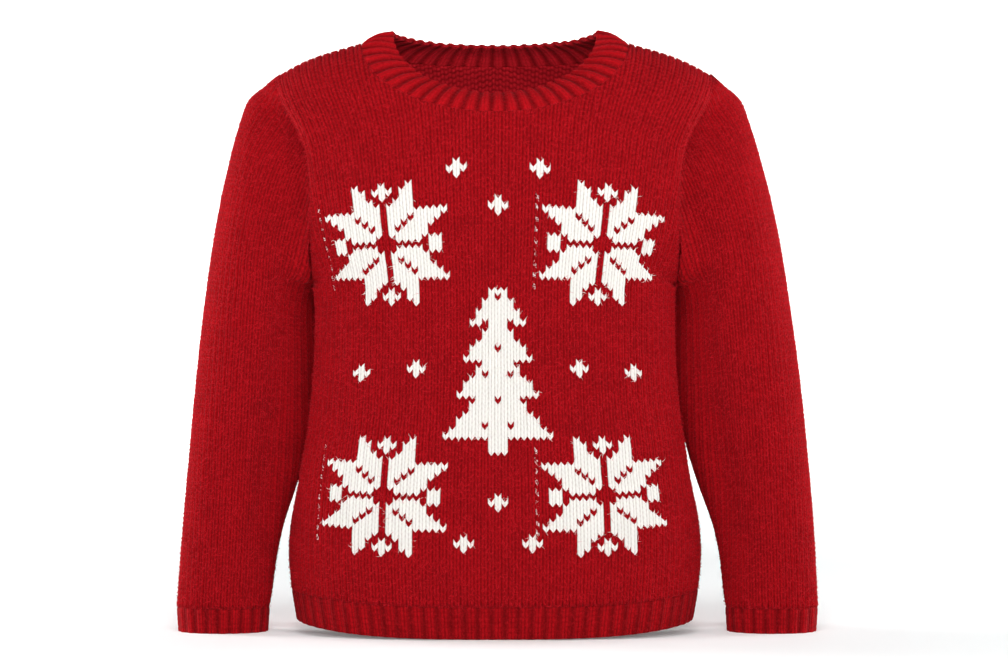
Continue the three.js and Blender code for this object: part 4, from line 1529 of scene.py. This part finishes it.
class SWEATER_OT_knit_neckband(bpy.types.Operator):
    """Knits the ribbed band round the neck"""

    bl_idname = "sweater.knit_neckband"
    bl_label = "Knit the neckband"

    def execute(self, context):
        settings = Settings(context.scene)
        wools = wool_finishes(settings)
        rib = [wools["rib"], wools["lining"]]
        front, back = (neck_half(face) for face in ("front", "back"))
        seat, free, normal = (np.concatenate([f[:-1], b[::-1]]) for f, b in zip(front, back))
        around = np.roll(free[:-1], -1, axis=0) - np.roll(free[:-1], 1, axis=0)
        around = np.concatenate([around, around[:1]])
        out = unit(np.cross(around, seat - free))
        out = out * np.sign(np.sum(out * normal, axis=-1).mean())
        wales = np.arange(len(seat)) / COLUMNS
        ways = (unit(normal + out), out)
        name = "rib_neckband"
        piece = ribbed_band(name, seat, free, ways, NECKBAND_SWELL, wales, NECKBAND_RIBS, True, rib)
        dress(piece, "neckband")
        return {"FINISHED"}


class SWEATER_OT_set_stage(bpy.types.Operator):
    """Sets up the floor with its backdrop, the soft lights and the camera"""

    bl_idname = "sweater.set_stage"
    bl_label = "Set the stage"

    def execute(self, context):
        settings = Settings(context.scene).stage
        floor_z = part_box("hem_front")[0].z - 0.0015
        add_floor(floor_z, settings)
        world = bpy.data.worlds.new("Soft daylight")
        world.use_nodes = True
        world.node_tree.nodes["Background"].inputs[0].default_value = (1, 1, 1, 1)
        world.node_tree.nodes["Background"].inputs[1].default_value = settings.daylight
        context.scene.world = world
        lights = (
            ("Front", (0.0, -2.6, 0.5), 0.8, settings.front_power),
            ("Front left", (1.6, -2.0, 0.5), 1.0, settings.front_power * 0.2),
            ("Top", (0.0, -0.9, 1.8), 0.8, settings.front_power * 0.6),
            ("Right rim", (-2.0, 0.6, 0.0), 0.6, settings.rim_power),
            ("Left rim", (2.0, 0.6, 0.0), 0.6, settings.rim_power * 0.7),
        )
        for name, place, size, power in lights:
            light = bpy.data.lights.new(name, "AREA")
            light.size = size
            light.energy = power
            lamp = bpy.data.objects.new(name, light)
            lamp.location = place
            lamp.rotation_euler = (Vector((0, 0, -0.2)) - Vector(place)).to_track_quat("-Z", "Y").to_euler()
            context.scene.collection.objects.link(lamp)
        camera = bpy.data.cameras.new("Camera")
        camera.lens = settings.lens
        camera.sensor_width = 36
        stand = bpy.data.objects.new("Camera", camera)
        stand.location = settings.camera_place
        stand.rotation_euler = (QUARTER, 0, 0)
        context.scene.collection.objects.link(stand)
        context.scene.camera = stand
        context.scene.view_settings.view_transform = "Standard"
        return {"FINISHED"}


class SWEATER_PT_sidebar(bpy.types.Panel):
    """Lists the sweater's steps and settings"""

    bl_idname = "SWEATER_PT_sidebar"
    bl_label = "Christmas sweater"
    bl_space_type = "VIEW_3D"
    bl_region_type = "UI"
    bl_category = "Sweater"

    def draw(self, context):
        layout = self.layout
        for operator in OPERATORS:
            layout.operator(operator.bl_idname)
        scene = context.scene
        for group in (scene.sweater_knit, scene.sweater_yarn, scene.sweater_stage):
            box = layout.box()
            for name in group.__annotations__:
                box.prop(group, name)


GROUPS = {"sweater_knit": SweaterKnit, "sweater_yarn": SweaterYarn, "sweater_stage": SweaterStage}
OPERATORS = (
    SWEATER_OT_set_stage,
    SWEATER_OT_knit_panels,
    SWEATER_OT_knit_sleeves,
    SWEATER_OT_knit_bands,
    SWEATER_OT_knit_neckband,
)


def register():
    """Registers the settings, the steps and the sidebar."""
    for name, group in GROUPS.items():
        bpy.utils.register_class(group)
        setattr(bpy.types.Scene, name, bpy.props.PointerProperty(type=group))
    for part in (*OPERATORS, SWEATER_PT_sidebar):
        bpy.utils.register_class(part)


def unregister():
    """Takes them all away again."""
    for part in (SWEATER_PT_sidebar, *reversed(OPERATORS)):
        bpy.utils.unregister_class(part)
    for name, group in GROUPS.items():
        delattr(bpy.types.Scene, name)
        bpy.utils.unregister_class(group)


def main():
    """Makes the stage and the sweater."""
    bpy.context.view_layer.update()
    register()
    bpy.ops.sweater.set_stage()
    bpy.ops.sweater.knit_panels()
    bpy.ops.sweater.knit_sleeves()
    bpy.ops.sweater.knit_bands()
    bpy.ops.sweater.knit_neckband()


if __name__ == "__main__":
    main()
